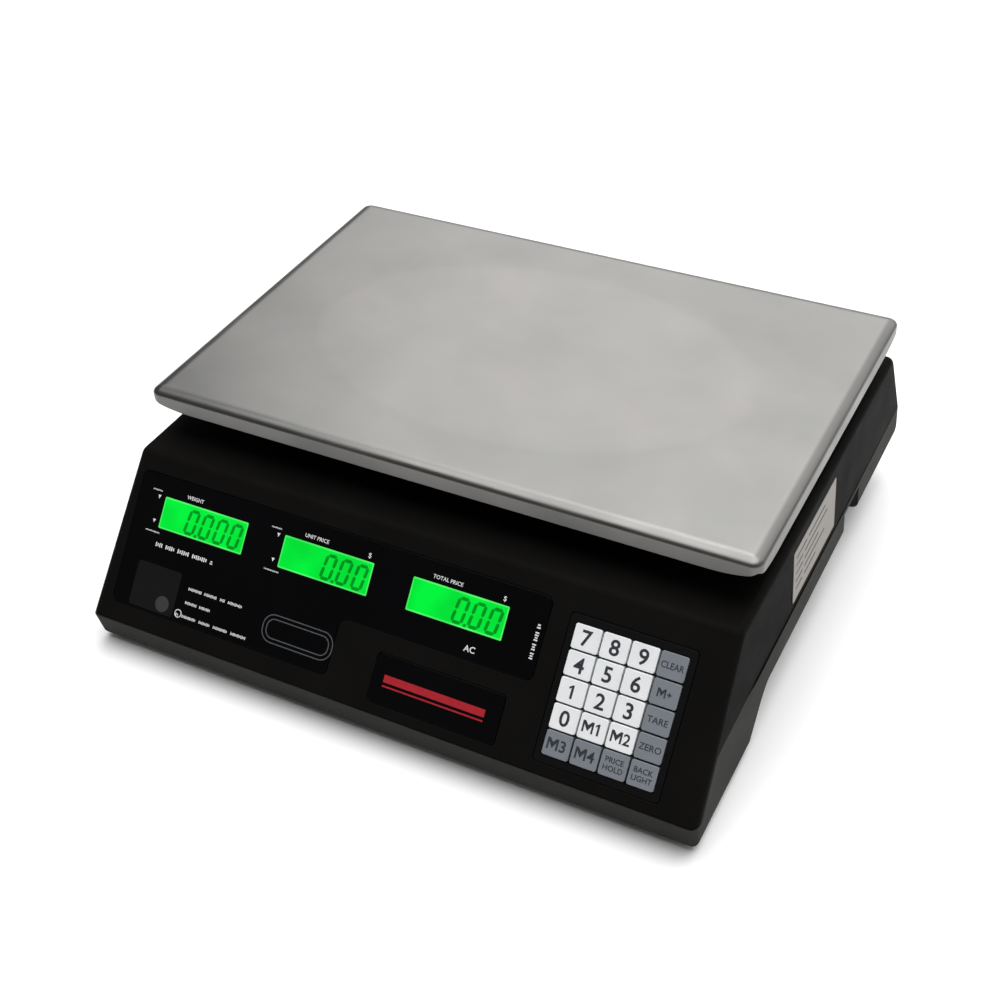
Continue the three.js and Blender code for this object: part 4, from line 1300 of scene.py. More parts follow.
    def bars(self, name: str, rows: list, plane: Plane, face: float,
             material: bpy.types.Material) -> None:
        """Rows of small printed strokes that stand for small print.

        A row is filled with strokes a little over half its height apart, every third one lower.

        Args:
            name: The object's name.
            rows: Each bar as (left, middle height, length, thickness).
            plane: The face.
            face: The face's height over the plane.
            material: The ink.
        """
        table = np.array(rows)
        upright = table[:, 3] > table[:, 2]
        shapes = []
        for (left, middle, length, thick), stands in zip(table, upright):
            run, height = (thick, length) if stands else (length, thick)
            count = max(int(run / (0.52 * height)), 1)
            start = np.arange(count) * run / count
            tall = height * np.where(np.arange(count) % 3 == 1, 0.72, 1.0)
            wide = 0.58 * run / count
            square = np.array([[0, -0.5], [1, -0.5], [1, 0.5], [0, 0.5]])
            marks = square[None] * np.stack([np.full(count, wide), tall], axis=1)[:, None]
            marks[:, :, 0] += start[:, None]
            if stands:
                marks = marks[:, :, ::-1] * [-1, 1]
                marks += [left + height / 2, middle - run / 2]
            else:
                marks += [left, middle]
            shapes.append(marks)
        self.flat_marks(name, np.concatenate(shapes), plane, face, material)

    def words(self, name: str, text: str, x: float, y: float, height: float, plane: Plane,
              face: float, material: bpy.types.Material, body: str = "housing",
              widest: float | None = None, bold: float = 0.0) -> bpy.types.Object:
        """Plain capitals or figures, centred on a point of a face, as a thin mesh.

        Args:
            name: The object's name.
            text: The figures or the plain word.
            x: The middle's place on the face.
            y: The middle's place on the face.
            height: The capitals' height.
            plane: The face.
            face: The face's height over the plane.
            material: The ink.
            body: The body that the word rides on.
            widest: The most that it may be wide; a wider word is narrowed.
            bold: How far the strokes are thickened.

        Returns:
            The object.
        """
        curve = bpy.data.curves.new(name, "FONT")
        curve.body = text
        curve.align_x, curve.align_y = "CENTER", "CENTER"
        curve.size = height / self.capital
        curve.extrude = self.relief / 2
        curve.offset = bold
        curve.resolution_u = 3
        source = linked(f"{name}_text", curve)
        bpy.context.view_layer.update()
        mesh = bpy.data.meshes.new_from_object(source.evaluated_get(
            bpy.context.evaluated_depsgraph_get()))
        bpy.data.objects.remove(source, do_unlink=True)
        flat = np.empty(len(mesh.vertices) * 3, np.float32)
        mesh.vertices.foreach_get("co", flat)
        points = flat.reshape(-1, 3).astype(float)
        low, high = points.min(0), points.max(0)
        points -= (low + high) / 2
        if widest and high[0] - low[0] > widest:
            points[:, 0] *= widest / (high[0] - low[0])
        points += [x, y, face + self.relief / 2]
        mesh.vertices.foreach_set("co", plane.place(points).astype(np.float32).ravel())
        mesh.materials.clear()
        mesh.materials.append(material)
        mesh.update()
        return finished(linked(name, mesh), body)

    def front_captions(self, face: float) -> None:
        """The captions, arrows and units round the front displays, and the mains mark below."""
        plane, ink = self.housing.front, self.finishes.print_white
        for index, (middle, size) in enumerate(self.display_places("front")):
            x, y = middle
            top = y + size[1] / 2
            edge = x - size[0] / 2
            self.words(f"front_caption_{index + 1}", self.captions[index], edge + 18.5 * MM,
                       top + 3.2 * MM, 2.0 * MM, plane, face, ink, bold=0.03 * MM)
            rows = [(edge - 8.5 * MM, top + 2.2 * MM, 6 * MM, 0.7 * MM),
                    (edge - 7.0 * MM, y - size[1] / 2 - 2.6 * MM, 9 * MM, 0.7 * MM)]
            marks = [(edge - 3.6 * MM, top - 1.0 * MM), (edge - 3.2 * MM, y - size[1] / 2 + 3 * MM)]
            if index < 2:
                self.bars(f"front_small_print_{index + 1}", rows, plane, face, ink)
                arrow = np.array([[-0.9, 0.9], [0.9, 0.9], [0.0, -1.1]])[::-1] * MM
                self.flat_marks(f"front_arrows_{index + 1}",
                                np.stack([arrow + mark for mark in marks]), plane, face, ink)
            if index > 0:
                self.words(f"front_unit_{index + 1}", "$", x + size[0] / 2 - 3.4 * MM,
                           top + 3.0 * MM, 2.6 * MM, plane, face, ink)
        last, size = self.display_places("front")[2]
        self.words("front_mark_ac", "AC", last[0] + 12 * MM, last[1] - size[1] / 2 - 8.5 * MM,
                   3.2 * MM, plane, face, ink, bold=0.06 * MM)

    def front_prints(self) -> None:
        """All that is printed on the front window: captions, small print, plain mark and seal."""
        plane, ink = self.housing.front, self.finishes.print_white
        face = place_of("front_display_window", plane).high[2]
        window = self.window_outline(0)
        left, low = window.corners.min(0)
        right = window.corners[:, 0].max()
        self.front_captions(face)
        last = self.display_places("front")[2][0]
        first, size = self.display_places("front")[0]
        line = first[1] - size[1] / 2 - 8.6 * MM
        runs = [(0, 4.6), (6.4, 6.0), (14.2, 7.6), (23.6, 9.6), (35.0, 1.6)]
        self.bars("front_type_line", [(first[0] - 25 * MM + start * MM, line, run * MM, 2.2 * MM)
                                      for start, run in runs], plane, face, ink)
        data_left = left + 45 * MM
        rows = [((0, 8.5), (10, 8), (20, 3.2), (25, 9)), ((0, 7.5), (9, 7)),
                ((-4, 2), (0, 9), (11, 7), (20, 9), (31, 9.5))]
        bars = [(data_left + start * MM, low + (19.2 - 7.4 * row) * MM, run * MM, 1.5 * MM)
                for row, runs in enumerate(rows) for start, run in runs]
        self.bars("front_data_lines", bars, plane, face, ink)
        self.seal(left + 11 * MM, low + 1.5 * MM, face)
        self.window_mark(left + 114 * MM, low + 14 * MM, face)
        upright = [(right - 4.6 * MM, last[1] - 9.2 * MM + step * MM, 1.9 * MM, run * MM)
                   for step, run in ((-1.2, 3.6), (3.2, 3.6), (8.4, 4.8), (13.4, 2.6))]
        self.bars("front_upright_line", upright, plane, face, ink)

    def foil(self, name: str, outline: Outline, radius: float, low: float, high: float,
             material: bpy.types.Material) -> None:
        """A thin piece on the front window whose rim is rounded by the radius."""
        profile = quarter(radius, low, high, 2)
        piece = loft(name, carried(outline, profile, self.housing.front), [material])
        finished(shaded(piece), "housing")

    def hoop(self, name: str, outline: Outline, width: float, face: float,
             material: bpy.types.Material) -> None:
        """A printed line of the width, just inside an outline on the front window."""
        low, high = face - 0.02 * MM, face + 0.05 * MM
        profile = np.array([[0, low], [0, high], [width, high], [width, low]])
        piece = loft(name, carried(outline, profile, self.housing.front), [material], closed=True)
        finished(shaded(piece), "housing")

    def seal(self, x: float, y: float, face: float) -> None:
        """A plain foil seal with a round embossed spot, and a small ring printed beside it.

        Args:
            x: The foil's left edge.
            y: A little under the foil's lower edge.
            face: The window's height over the panel.
        """
        made = self.finishes
        square = Outline.rectangle(28 * MM, 24 * MM, 1.5 * MM, x + 14 * MM, y + 12.2 * MM)
        self.foil("seal_foil", square, 0.05 * MM, face - 0.05 * MM, face + 0.1 * MM, made.foil)
        spot = Outline.circle(4.2 * MM, x + 20.5 * MM, y + 5.4 * MM)
        self.foil("seal_spot", spot, 0.04 * MM, face, face + 0.16 * MM, made.foil_spot)
        ring = Outline.circle(2.2 * MM, x + 31.4 * MM, y + 3.6 * MM)
        self.hoop("seal_ring", ring, 0.45 * MM, face, made.print_white)

    def window_mark(self, x: float, y: float, face: float) -> None:
        """A plain mark: one rounded outline inside another."""
        for number, (width, height) in enumerate(((42 * MM, 15 * MM), (37.5 * MM, 10.5 * MM))):
            outline = Outline.rectangle(width, height, height / 2.3, x, y)
            self.hoop(f"window_mark_{number + 1}", outline, 0.55 * MM, face,
                      self.finishes.print_grey)

    def rear_prints(self) -> None:
        """The captions over the customer's displays."""
        plane = self.housing.rear
        face = place_of("rear_display_window", plane).high[2]
        for index, (middle, size) in enumerate(self.display_places("rear")):
            self.words(f"rear_caption_{index + 1}", self.captions[index], middle[0],
                       middle[1] + size[1] / 2 + 3.2 * MM, 1.9 * MM, plane, face,
                       self.finishes.print_white)

    def badge(self) -> None:
        """The badge plate with two plain red stripes on it."""
        plane = self.housing.front
        self.plate("badge_acrylic", self.badge_outline(self.play), plane, "badge_plate", [])
        place = place_of("badge_plate", plane)
        x, y = place.middle[:2]
        face = place.high[2]
        square = np.array([[-1, -1], [1, -1], [1, 1], [-1, 1]], float)
        stripes = ((28 * MM, 1.9 * MM, 0.8 * MM), (28 * MM, 0.4 * MM, -3.0 * MM))
        shapes = [square * [half, thick] + [x - 1 * MM, y + lift] for half, thick, lift in stripes]
        self.flat_marks("badge_stripe", np.array(shapes), plane, face, self.finishes.print_red)

    def label(self) -> None:
        """The white rating label on the right wall, with bars for its small print."""
        plane = self.housing.right
        place = place_of("side_label", plane)
        profile = quarter(0.1 * MM, place.low[2], place.high[2], 2)
        piece = loft("side_label_paper", carried(self.label_outline(0), profile, plane),
                     [self.finishes.paper])
        finished(shaded(piece), "housing", "label_white", ("side_label",))
        left, low = place.low[:2]
        rows = []
        for row, (lead, run) in enumerate(((20, 34), (14, 44), (14, 30), (14, 40), (14, 26))):
            rows.append((left + 4 * MM, low + (27 - 5 * row) * MM, (lead - 4) * MM, 1.3 * MM))
            rows.append((left + (lead + 3) * MM, low + (27 - 5 * row) * MM, (run - 8) * MM,
                         1.3 * MM))
        self.bars("side_label_lines", rows, plane, place.high[2], self.finishes.print_grey)

    def build(self) -> None:
        """Builds every plate, display and print."""
        front, rear = self.housing.front, self.housing.rear
        self.plate("front_window_acrylic", self.window_outline(self.play), front,
                   "front_display_window", self.display_outlines("front", 0.05 * MM))
        self.plate("rear_window_acrylic", self.rear_outline(self.play), rear,
                   "rear_display_window", self.display_outlines("rear", 0.05 * MM))
        for end in ("front", "rear"):
            for index in range(3):
                self.display(end, index)
        self.front_prints()
        self.rear_prints()
        self.badge()
        self.label()


# ------------------------------------------------------------------ keypad
class KeyTone(Enum):
    """The two tones of key."""

    FIGURE = "key_white"
    FUNCTION = "key_grey"


@dataclass
class Keypad:
    """The key frame, twenty sprung keys and the legends printed on them."""

    housing: Housing
    finishes: Finishes
    fascia: Fascia
    corner: float = 1.1 * MM
    edge: float = 0.32 * MM
    dish: float = 0.05 * MM
    print_depth: float = 0.045 * MM
    legends: dict = field(default_factory=lambda: {
        **{f"key_{figure}": str(figure) for figure in range(10)},
        **{f"key_memory_{number}": f"M{number}" for number in range(1, 5)},
        "key_clear": "CLEAR", "key_add": "M+", "key_tare": "TARE", "key_zero": "ZERO",
        "key_price_hold": "PRICE\nHOLD", "key_light": "BACK\nLIGHT",
    })
    functions: tuple = ("key_clear", "key_add", "key_tare", "key_zero", "key_memory_3",
                        "key_memory_4", "key_price_hold", "key_light")

    def tone(self, node: str) -> KeyTone:
        """Whether a key is a white figure key or a grey function key."""
        return KeyTone.FUNCTION if node in self.functions else KeyTone.FIGURE

    def key(self, node: str) -> None:
        """A key cap: a rounded plate whose top is dished, from a profile carried round its outline."""
        plane = self.housing.front
        place = place_of(node, plane)
        outline = Outline.rectangle(*place.size[:2], self.corner, *place.middle[:2])
        top = place.high[2]
        angle = np.linspace(0, 1, 5)[1:]
        dished = np.column_stack([self.edge + angle * 3 * MM, top - self.dish * angle ** 2])
        profile = np.vstack([quarter(self.edge, place.low[2], top), dished])
        tone = self.tone(node)
        material = getattr(self.finishes, tone.value)
        body = frame["nodes"][node]["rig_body"]
        cap = loft(f"{node}_cap", carried(outline, profile, plane), [material])
        finished(shaded(cap), body, tone.value, (node,))
        text = self.legends[node]
        if text.startswith("M"):
            self.memory_legend(node, text[1:], place, top, body)
            return
        if text == "1":
            self.figure_one(node, place.middle[:2], 6.6 * MM, top, body)
            return
        height = {1: 7.8}.get(len(text), 3.2 if "\n" not in text else 2.7) * MM
        ink = self.finishes.print_dark
        lines = text.split("\n")
        for row, line in enumerate(lines):
            y = place.middle[1] + (0.5 * (len(lines) - 1) - row) * height * 1.45
            name = f"{node}_legend" if len(lines) == 1 else f"{node}_legend_{row + 1}"
            self.fascia.words(name, line, place.middle[0], y, height, plane,
                              top - self.print_depth, ink, body,
                              widest=place.size[0] - 2.2 * MM,
                              bold={1: 0.18}.get(len(text), 0.045) * MM)

    def figure_one(self, node: str, middle: np.ndarray, height: float, top: float,
                   body: str) -> None:
        """The figure 1 as one outline: an upright stroke with a short flag to its left."""
        outline = np.array([[0.10, -0.5], [0.10, 0.5], [-0.03, 0.5], [-0.26, 0.33],
                            [-0.26, 0.18], [-0.08, 0.30], [-0.08, -0.5]])
        self.fascia.flat_marks(f"{node}_figure", (outline * height + middle)[None],
                               self.housing.front, top - self.print_depth,
                               self.finishes.print_dark, body=body)

    def memory_legend(self, node: str, mark: str, place: Place, top: float, body: str) -> None:
        """The letter M as one outline of even strokes, and its figure or sign beside it."""
        height = 5.6 * MM if mark != "+" else 4.2 * MM
        ink, plane = self.finishes.print_dark, self.housing.front
        face = top - self.print_depth
        stem, half, valley = 0.17, 0.5, 0.34
        right = np.array([[half, -0.5], [half, 0.5], [half - 1.25 * stem, 0.5], [0, 0.5 - valley]])
        left = right[::-1][1:] * [-1, 1]
        under = np.array([[-half + stem, -0.5], [-half + stem, 0.18], [0, -0.36],
                          [half - stem, 0.18], [half - stem, -0.5]])
        letter = np.concatenate([right, left, under])
        letter = letter * height + place.middle[:2] - [0.42 * height, 0]
        self.fascia.flat_marks(f"{node}_letter", letter[None], plane, face, ink, body=body)
        beside = place.middle[:2] + [0.5 * height, 0]
        if mark == "1":
            self.figure_one(node, beside, height, top, body)
            return
        self.fascia.words(f"{node}_legend", mark, *beside, height if mark != "+" else 0.7 * height,
                          plane, face, ink, body, bold=0.12 * MM)

    def build(self) -> None:
        """Builds the frame and every key."""
        plane = self.housing.front
        node = "keypad_frame"
        place = place_of(node, plane)
        outline = self.fascia.keypad_outline(0.3 * MM)
        profile = quarter(0.3 * MM, place.low[2], place.high[2])
        frame_piece = loft("keypad_frame_moulded", carried(outline, profile, plane),
                           [self.finishes.black])
        keys = [place_of(key, plane) for key in self.legends]
        low = np.min([key.low for key in keys], axis=0) - 0.46 * MM
        high = np.max([key.high for key in keys], axis=0) + 0.46 * MM
        middle = (low + high) / 2
        opening = Outline.rectangle(high[0] - low[0], high[1] - low[1], self.corner, *middle[:2])
        combine(frame_piece, [prism(opening, -8 * MM, 4 * MM, plane)], Cut.REMOVE)
        finished(shaded(frame_piece), "housing", "black_plastic", (node,))
        for key in self.legends:
            self.key(key)


# ------------------------------------------------------------------ platform
@dataclass
class Platform:
    """The stainless platter and the rubber cushions that carry it."""

    finishes: Finishes
    table: Plane
    sheet: float = 0.8 * MM
    bend_run: float = 7.5 * MM
    bend_fall: float = 3.6 * MM
    corner: float = 6 * MM
    corner_round: float = 26 * MM
    ribs: int = 2
    rib_depth: float = 0.45 * MM
    dome: float = 2.4 * MM

    def platter(self) -> None:
        """The folded sheet: one profile carried round a rounded rectangle.

        It starts under the top, turns down inside the bend, runs down the lip, round its rolled
        foot and up the outside, and turns in over the bend to the top.
        """
        place = place_of("platter", self.table)
        low, top = place.low[2], place.high[2]
        outline = Outline.rectangle(*place.size[:2], self.corner, *place.middle[:2], steps=10)
        angle = np.linspace(0, np.pi / 2, 9)
        run, fall = self.bend_run - self.sheet, self.bend_fall - self.sheet
        under = np.column_stack([self.bend_run - run * np.sin(angle),
                                 top - self.bend_fall + fall * np.cos(angle)])
        roll = np.linspace(0, np.pi, 7)
        half = self.sheet / 2
        foot = np.column_stack([half + half * np.cos(roll), low + half - half * np.sin(roll)])
        over = np.column_stack([self.bend_run * (1 - np.cos(angle)),
                                top - self.bend_fall * (1 - np.sin(angle))])
        rings = carried(outline, np.vstack([under, foot, over]), self.table)
        rings = self.with_side_points(rings)
        lift = self.corner_lift(rings[len(under) + len(foot)], place)
        share = np.clip((top - self.bend_fall - rings[:, :, 2]) / (top - self.bend_fall - low), 0, 1)
        rings[:, :, 2] += share * lift
        piece = loft("platter_pan", rings, [self.finishes.steel])
        finished(shaded(piece, 40), "platter", "stainless", ("platter",))

    def with_side_points(self, rings: np.ndarray, extra: int = 12) -> np.ndarray:
        """Adds points along the straight sides next to each corner, packed towards the corner.

        Between the last point of one arc, a, and the first of the next, b, the new points are
        a + (b - a) * t, with t running in small steps over the stretch next to each corner.
        """
        arc = rings.shape[1] // 4
        reach = np.linspace(0, self.corner_round / place_of("platter", self.table).size[1], extra + 1)
        steps = np.concatenate([reach[1:], 1 - reach[::-1][:-1]])
        parts = []
        for side in range(4):
            first = rings[:, side * arc:(side + 1) * arc]
            last = first[:, -1:]
            following = rings[:, [(side + 1) * arc % rings.shape[1]]]
            parts += [first, last + (following - last) * steps[None, :, None]]
        return np.concatenate(parts, axis=1)

    def corner_lift(self, ring: np.ndarray, place: Place) -> np.ndarray:
        """How far the lip's foot rises at each point of the ring, so that its corners are round.

        At the distance d from the nearest corner of the pan, measured along the wall, the foot
        rises by h * (1 - sqrt(1 - ((r - d) / r) ** 2)), a quarter of an ellipse that runs r
        along the wall and h, the height of the lip under the bend, up it; past r it is level.
        """
        away = place.size[:2] / 2 - np.abs(ring[:, :2] - place.middle[:2])
        share = np.clip(1 - np.max(away, axis=1) / self.corner_round, 0, 0.95)
        height = place.size[2] - self.bend_fall - self.sheet
        return height * (1 - np.sqrt(1 - share ** 2))

    def cushion(self, node: str) -> None:
        """A rubber cap over a pin: a ring of revolution with a domed top and two soft ribs."""
        place = place_of(node, self.table)
        x, y = place.middle[:2]
        radius, low, top = place.size[0] / 2, place.low[2], place.high[2]
        height = top - low
        rise = np.linspace(0.12, 0.62, 13)
        wave = (1 - np.cos(rise * 4 * self.ribs * np.pi)) / 2
        wall = np.column_stack([radius - self.rib_depth * wave, low + rise * height])
        angle = np.linspace(0, np.pi / 2, 7)
        dome = np.column_stack([radius - self.dome * (1 - np.cos(angle)),
                                top - self.dome * (1 - np.sin(angle))])
        socket = np.array([[POLE, low + height / 2], [4 * MM, low + height / 2],
                           [4 * MM, low], [radius - 0.3 * MM, low]])
        profile = np.vstack([socket, wall, dome, [[POLE, top]]])
        piece = turned(f"{node}_moulded", profile, x, y, [self.finishes.rubber])
        finished(shaded(piece, 50), "weighing_platform", "rubber", (node,))

    def build(self) -> None:
        """Builds the platter and its cushions."""
        self.platter()
        for end in ("front", "rear"):
            for side in ("left", "right"):
                self.cushion(f"platter_cushion_{end}_{side}")


# ------------------------------------------------------------------ feet and fittings
@dataclass
class Fittings:
    """Feet, switch, inlet, level and everything that is fixed inside the base."""

    finishes: Finishes
    housing: Housing
    fascia: Fascia
    knurls: int = 24
    knurl_depth: float = 0.35 * MM
    wheel_height: float = 3.7 * MM
    stud_radius: float = 4 * MM
    thread_pitch: float = 1.25 * MM
    thread_depth: float = 0.28 * MM
    rocker_tilt: float = np.radians(8)
    rocker_half: float = 8.5 * MM
    rocker_rise: float = 2.8 * MM
    pin_spread: float = 8.6 * MM
    pin_length: float = 10.5 * MM

    def foot(self, corner: str) -> None:
        """A levelling foot: a knurled rubber wheel under a threaded stud.

        With n knurls of depth d, the wheel's radius at angle a is r - d * (1 + cos(n a)) / 2. The
        stud's radius follows its thread's height in the same way.
        """
        node = f"{corner}_foot"
        place = place_of(node, self.housing.table)
        x, y = place.middle[:2]
        radius, top = place.size[0] / 2, place.high[2]
        rim, stem = self.wheel_height, self.stud_radius
        # Each row: radius, height, and the share of the knurls' depth that shows there.
        rows = np.array([[POLE, 0, 0], [radius - 1.2 * MM, 0, 0],
                         [radius - 0.5 * MM, 0.2 * MM, 0.4], [radius, 0.9 * MM, 1],
                         [radius, rim - 0.8 * MM, 1], [radius - 0.5 * MM, rim - 0.2 * MM, 0.4],
                         [radius - 1.2 * MM, rim, 0], [stem, rim, 0]])
        angle = np.linspace(0, 2 * np.pi, 8 * self.knurls, endpoint=False)
        reach = rows[:, :1] - rows[:, 2:] * self.knurl_depth * (1 + np.cos(self.knurls * angle)) / 2
        wheel = np.stack([x + reach * np.cos(angle), y + reach * np.sin(angle),
                          rows[:, 1:2] + 0 * angle], axis=2)
        heights = np.linspace(rim, top - 0.6 * MM, 64)
        wave = (1 + np.cos(2 * np.pi * heights / self.thread_pitch)) / 2
        stud_rows = np.vstack([np.column_stack([stem - self.thread_depth * wave, heights]),
                               [[3.2 * MM, top], [POLE, top]]])
        stud = np.stack([x + stud_rows[:, :1] * np.cos(angle), y + stud_rows[:, :1] * np.sin(angle),
                         stud_rows[:, 1:] + 0 * angle], axis=2)
        piece = loft(f"{node}_wheel", np.concatenate([wheel, stud]),
                     [self.finishes.rubber, self.finishes.zinc])
        slots = np.zeros(len(piece.data.polygons), np.int32)
        slots[len(rows) * len(angle):] = 1
        slots[-2] = 0
        piece.data.polygons.foreach_set("material_index", slots)
        finished(shaded(piece, 45), frame["nodes"][node]["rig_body"], "rubber", (node,))

    def rounded(self, node: str, material: bpy.types.Material, round_edge: float,
                tools: list | None = None) -> bpy.types.Object:
        """A node's own solid with its flat faces made whole and its edges rounded.

        Args:
            node: The node that it stands for.
            material: Its finish.
            round_edge: The radius of its edges.
            tools: Closed meshes that cut fine detail into it first.

        Returns:
            The piece.
        """
        mesh = frame["nodes"][node].data.copy()
        mesh.materials.clear()
        mesh.materials.append(material)
        piece = linked(f"{node}_finished", mesh)
        weld = piece.modifiers.new("weld", "WELD")
        weld.merge_threshold = 0.01 * MM
        settle(piece)
        if tools:
            combine(piece, tools, Cut.REMOVE)
        flat = piece.modifiers.new("flat", "DECIMATE")
        flat.decimate_type = "DISSOLVE"
        flat.angle_limit = np.radians(0.5)
        settle(piece)
        soft = piece.modifiers.new("edges", "BEVEL")
        soft.width, soft.segments = round_edge, 2
        soft.limit_method = "ANGLE"
        soft.angle_limit = np.radians(40)
        settle(piece)
        return shaded(piece, 35)

    def refined(self, node: str, material: bpy.types.Material, slot: str, round_edge: float,
                tools: list | None = None) -> bpy.types.Object:
        """A rounded node that rides on the node's own body."""
        piece = self.rounded(node, material, round_edge, tools)
        return finished(piece, frame["nodes"][node]["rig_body"], slot, (node,))

    def load_cell(self, reach: float = 18 * MM) -> None:
        """The bored bar, rounded, in place of its hidden node.

        Args:
            reach: Not used.
        """
        node = "load_cell"
        piece = self.rounded(node, self.finishes.aluminium, 0.4 * MM)
        x, y, z = place_of(node, self.housing.table).middle
        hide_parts(node)
        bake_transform(piece)
        LOG.info("%s: %d faces, bending", piece.name, len(piece.data.polygons))

    def switch(self) -> None:
        """The rocker switch: its rounded bezel, the rocker and its two plain marks."""
        self.refined("power_switch_body", self.finishes.black, "black_plastic", 0.35 * MM)
        self.refined("power_switch_rocker", self.finishes.black, "black_plastic", 0.3 * MM)
        body = frame["nodes"]["power_switch_rocker"]["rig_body"]
        side = self.housing.plinth_right
        middle = place_of("power_switch_body", side).middle
        tilt, half = self.rocker_tilt, self.rocker_half
        ridge = np.array([side.origin[0] + self.rocker_rise - half * np.sin(tilt),
                          middle[0] + 0.11 * MM, middle[1]])
        for mark, name, sign in (("I", "switch_mark_on", -1), ("O", "switch_mark_off", 1)):
            # Each half of the rocker slopes towards its middle by the tilt, and the whole rocker
            # is turned by the tilt as well, so one half lies flat and the other leans twice.
            angle = (1 - sign) * tilt
            along = Y * np.cos(angle) - X * np.sin(angle)
            out = X * np.cos(angle) + Y * np.sin(angle)
            centre = ridge + along * sign * half / 2 + out * 0.03 * MM
            self.fascia.words(name, mark, 0, 0, 3.6 * MM, Plane(centre, along, Z, out), 0.0,
                              self.finishes.print_white, body)

    def inlet(self) -> None:
        """The mains inlet: its rounded socket and two round-ended pins."""
        self.refined("power_inlet", self.finishes.black, "black_plastic", 0.35 * MM)
        behind = self.housing.plinth_rear
        place = place_of("power_inlet", behind)
        x, y = place.middle[:2]
        back = place.high[2] - 13.5 * MM
        for number, sign in enumerate((-1, 1)):
            outline = Outline.circle(1.2 * MM, x + sign * self.pin_spread / 2, y, steps=6)
            profile = quarter(0.9 * MM, back, back + self.pin_length)
            pin = loft(f"inlet_pin_{number + 1}", carried(outline, profile, behind),
                       [self.finishes.zinc])
            finished(shaded(pin), "housing", "zinc_plate")

    def level(self) -> None:
        """The bull's-eye level: a flanged cup, a domed glass, a ring mark and a bubble."""
        node = "spirit_level"
        place = place_of(node, self.housing.table)
        x, y = place.middle[:2]
        low, top = place.low[2], place.high[2]
        flange = place.size[0] / 2
        seat_top = top - 1.2 * MM
        angle = np.linspace(0, np.pi / 2, 8)
        dome = np.column_stack([6.2 * MM * np.cos(angle), top - 0.7 * MM + 0.65 * MM * np.sin(angle)])
        dome[-1, 0] = POLE
        profile = np.vstack([
            [[POLE, low], [6.6 * MM, low], [7 * MM, low + 0.4 * MM], [7 * MM, seat_top],
             [flange - 0.2 * MM, seat_top], [flange, seat_top + 0.2 * MM],
             [flange, top - 0.35 * MM], [flange - 0.35 * MM, top], [6.6 * MM, top],
             [6.3 * MM, top - 0.7 * MM]], dome])
        cup = turned("level_vial", profile, x, y, [self.finishes.level])
        finished(shaded(cup, 40), "housing", "level_clear", (node,))
        for name, radius, width, material in (
                ("level_ring", 3.1 * MM, 0.3 * MM, self.finishes.print_dark),
                ("level_bubble", 1.7 * MM, 1.65 * MM, self.finishes.print_white)):
            height = top - 0.04 * MM if name == "level_bubble" else top - 0.16 * MM
            section = np.array([[0, height - 0.25 * MM], [0, height - 0.04 * MM],
                                [width / 2, height], [width, height - 0.04 * MM],
                                [width, height - 0.25 * MM]])
            ring = Outline.circle(radius, x, y)
            piece = loft(name, carried(ring, section, self.housing.table), [material], closed=True)
            finished(shaded(piece, 60), "housing")

    def hatch_tools(self) -> list:
        """The grip lines cut into the battery cover."""
        cover = place_of("battery_cover", self.housing.table)
        x, y = cover.middle[0], cover.low[1] + 14 * MM
        return [prism(Outline.rectangle(20 * MM, 1.1 * MM, 0.5 * MM, x, y + row * 2.6 * MM),
                      cover.low[2] - 1 * MM, cover.low[2] + 0.45 * MM, self.housing.table)
                for row in range(5)]

    def build(self) -> None:
        """Builds every fitting."""
        for corner in CORNERS:
            self.foot(corner)
        self.switch()
        self.inlet()
        self.level()
        made = self.finishes
        self.refined("battery_cover", made.base, "base_black", 0.3 * MM, self.hatch_tools())
        for node, material, slot, edge in (
                ("platter_carrier", made.cast, "cast_alloy", 0.8 * MM),
                ("carrier_post", made.aluminium, "aluminium", 0.5 * MM),
                ("battery", made.case_grey, "battery_grey", 0.8 * MM),
                ("transformer", made.core, "core_steel", 0.5 * MM),
                *((f"{name}_board", made.board, "circuit_board", 0.15 * MM)
                  for name in ("main", "keypad", "front_display", "rear_display"))):
            self.refined(node, material, slot, edge)
        self.load_cell()


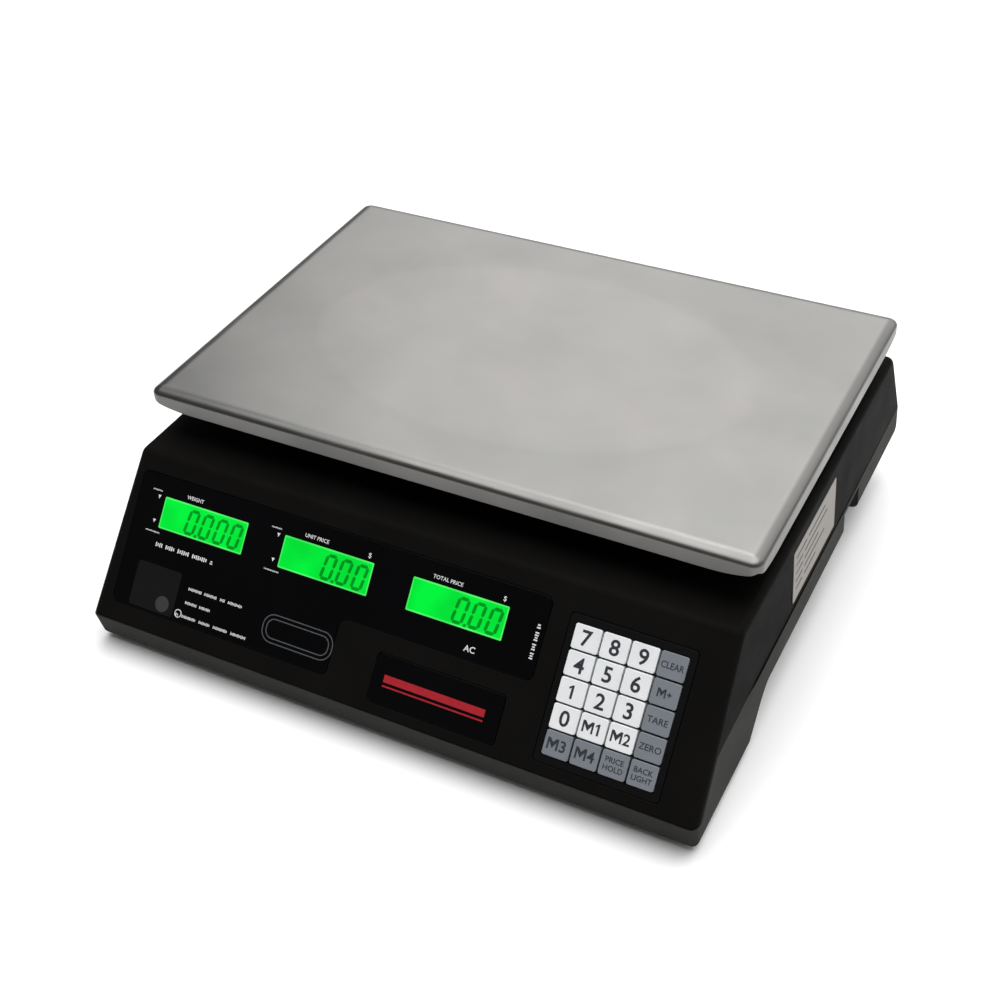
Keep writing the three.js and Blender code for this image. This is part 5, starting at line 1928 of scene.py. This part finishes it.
# ------------------------------------------------------------------ studio
@dataclass
class Studio:
    """A pale floor, soft lights and the camera."""

    position: tuple = (0.3113, -0.57915, 0.5695)
    azimuth: float = -28.95
    elevation: float = 39.08
    roll: float = -2.93
    lens: float = 54.41
    floor_half: float = 12.0
    sun: float = 3.5
    sun_spread: float = 60
    sun_tilt: float = -8
    sky: float = 0.18

    def camera(self) -> None:
        """The camera, from its bearing, its tilt below the horizon and its roll."""
        azimuth, elevation, roll = np.radians([self.azimuth, self.elevation, self.roll])
        ahead = np.array([np.sin(azimuth) * np.cos(elevation),
                          np.cos(azimuth) * np.cos(elevation), -np.sin(elevation)])
        right = np.array([np.cos(azimuth), -np.sin(azimuth), 0])
        up = np.cross(right, ahead)
        turned_right = right * np.cos(roll) + up * np.sin(roll)
        turned_up = up * np.cos(roll) - right * np.sin(roll)
        data = bpy.data.cameras.new("camera")
        data.lens, data.sensor_width = self.lens, 36
        camera = linked("camera", data)
        turn = Matrix([list(row) for row in np.stack([turned_right, turned_up, -ahead]).T])
        camera.matrix_world = Matrix.Translation(self.position) @ turn.to_4x4()
        bpy.context.scene.camera = camera

    def floor(self) -> None:
        """A large pale floor just under the feet."""
        half = self.floor_half
        corners = np.array([[-half, -half, 0], [half, -half, 0], [half, half, 0], [-half, half, 0]])
        recipe = Recipe("floor_paper").set(Roughness=0.9, Specular_IOR_Level=0.1)
        tone = recipe.colours(recipe.noise(0.4, 2), [(0.3, (0.86, 0.86, 0.86)),
                                                     (0.7, (0.88, 0.88, 0.88))])
        recipe.feed("Base Color", tone)
        floor = make_piece("floor", corners - [0, 0, 0.2 * MM], [[0, 1, 2, 3]], [recipe.material])

    def area(self, name: str, place: tuple, target: tuple, size: tuple, power: float) -> None:
        """A soft box at a place, turned to its target."""
        data = bpy.data.lights.new(name, "AREA")
        data.shape = "RECTANGLE"
        data.size, data.size_y = size
        data.energy = power
        turn = (Vector(target) - Vector(place)).to_track_quat("-Z", "Y").to_matrix()
        linked(name, data).matrix_world = Matrix.Translation(place) @ turn.to_4x4()

    def build(self) -> None:
        """Builds the studio."""
        self.camera()
        self.floor()
        data = bpy.data.lights.new("overhead", "SUN")
        data.energy, data.angle = self.sun, np.radians(self.sun_spread)
        linked("overhead", data).matrix_world = Matrix.Rotation(np.radians(self.sun_tilt), 4, "X")
        self.area("back_panel", (0.2, 2.2, 1.75), (0.05, 0.05, 0.1), (4.5, 2.6), 60)
        self.area("side_panel", (1.9, 0.2, 0.9), (0.1, 0.0, 0.05), (1.2, 1.2), 2)
        world = bpy.data.worlds.new("sky")
        world.use_nodes = True
        backdrop = world.node_tree.nodes["Background"]
        backdrop.inputs["Color"].default_value = (1, 1, 1, 1)
        backdrop.inputs["Strength"].default_value = self.sky
        bpy.context.scene.world = world
        bpy.context.scene.view_settings.view_transform = "Standard"


def main() -> None:
    """Builds the scale in order."""
    logging.basicConfig(level=logging.INFO, format="%(name)s: %(message)s")
    Studio().build()
    housing = Housing()
    middle = place_of("platter", housing.table)
    finishes = Finishes((*middle.middle[:2], middle.high[2]))
    fascia = Fascia(housing, finishes)
    housing.build(fascia, finishes)
    fascia.build()
    Keypad(housing, finishes, fascia).build()
    Platform(finishes, housing.table).build()
    Fittings(finishes, housing, fascia).build()


if __name__ == "__main__":
    main()
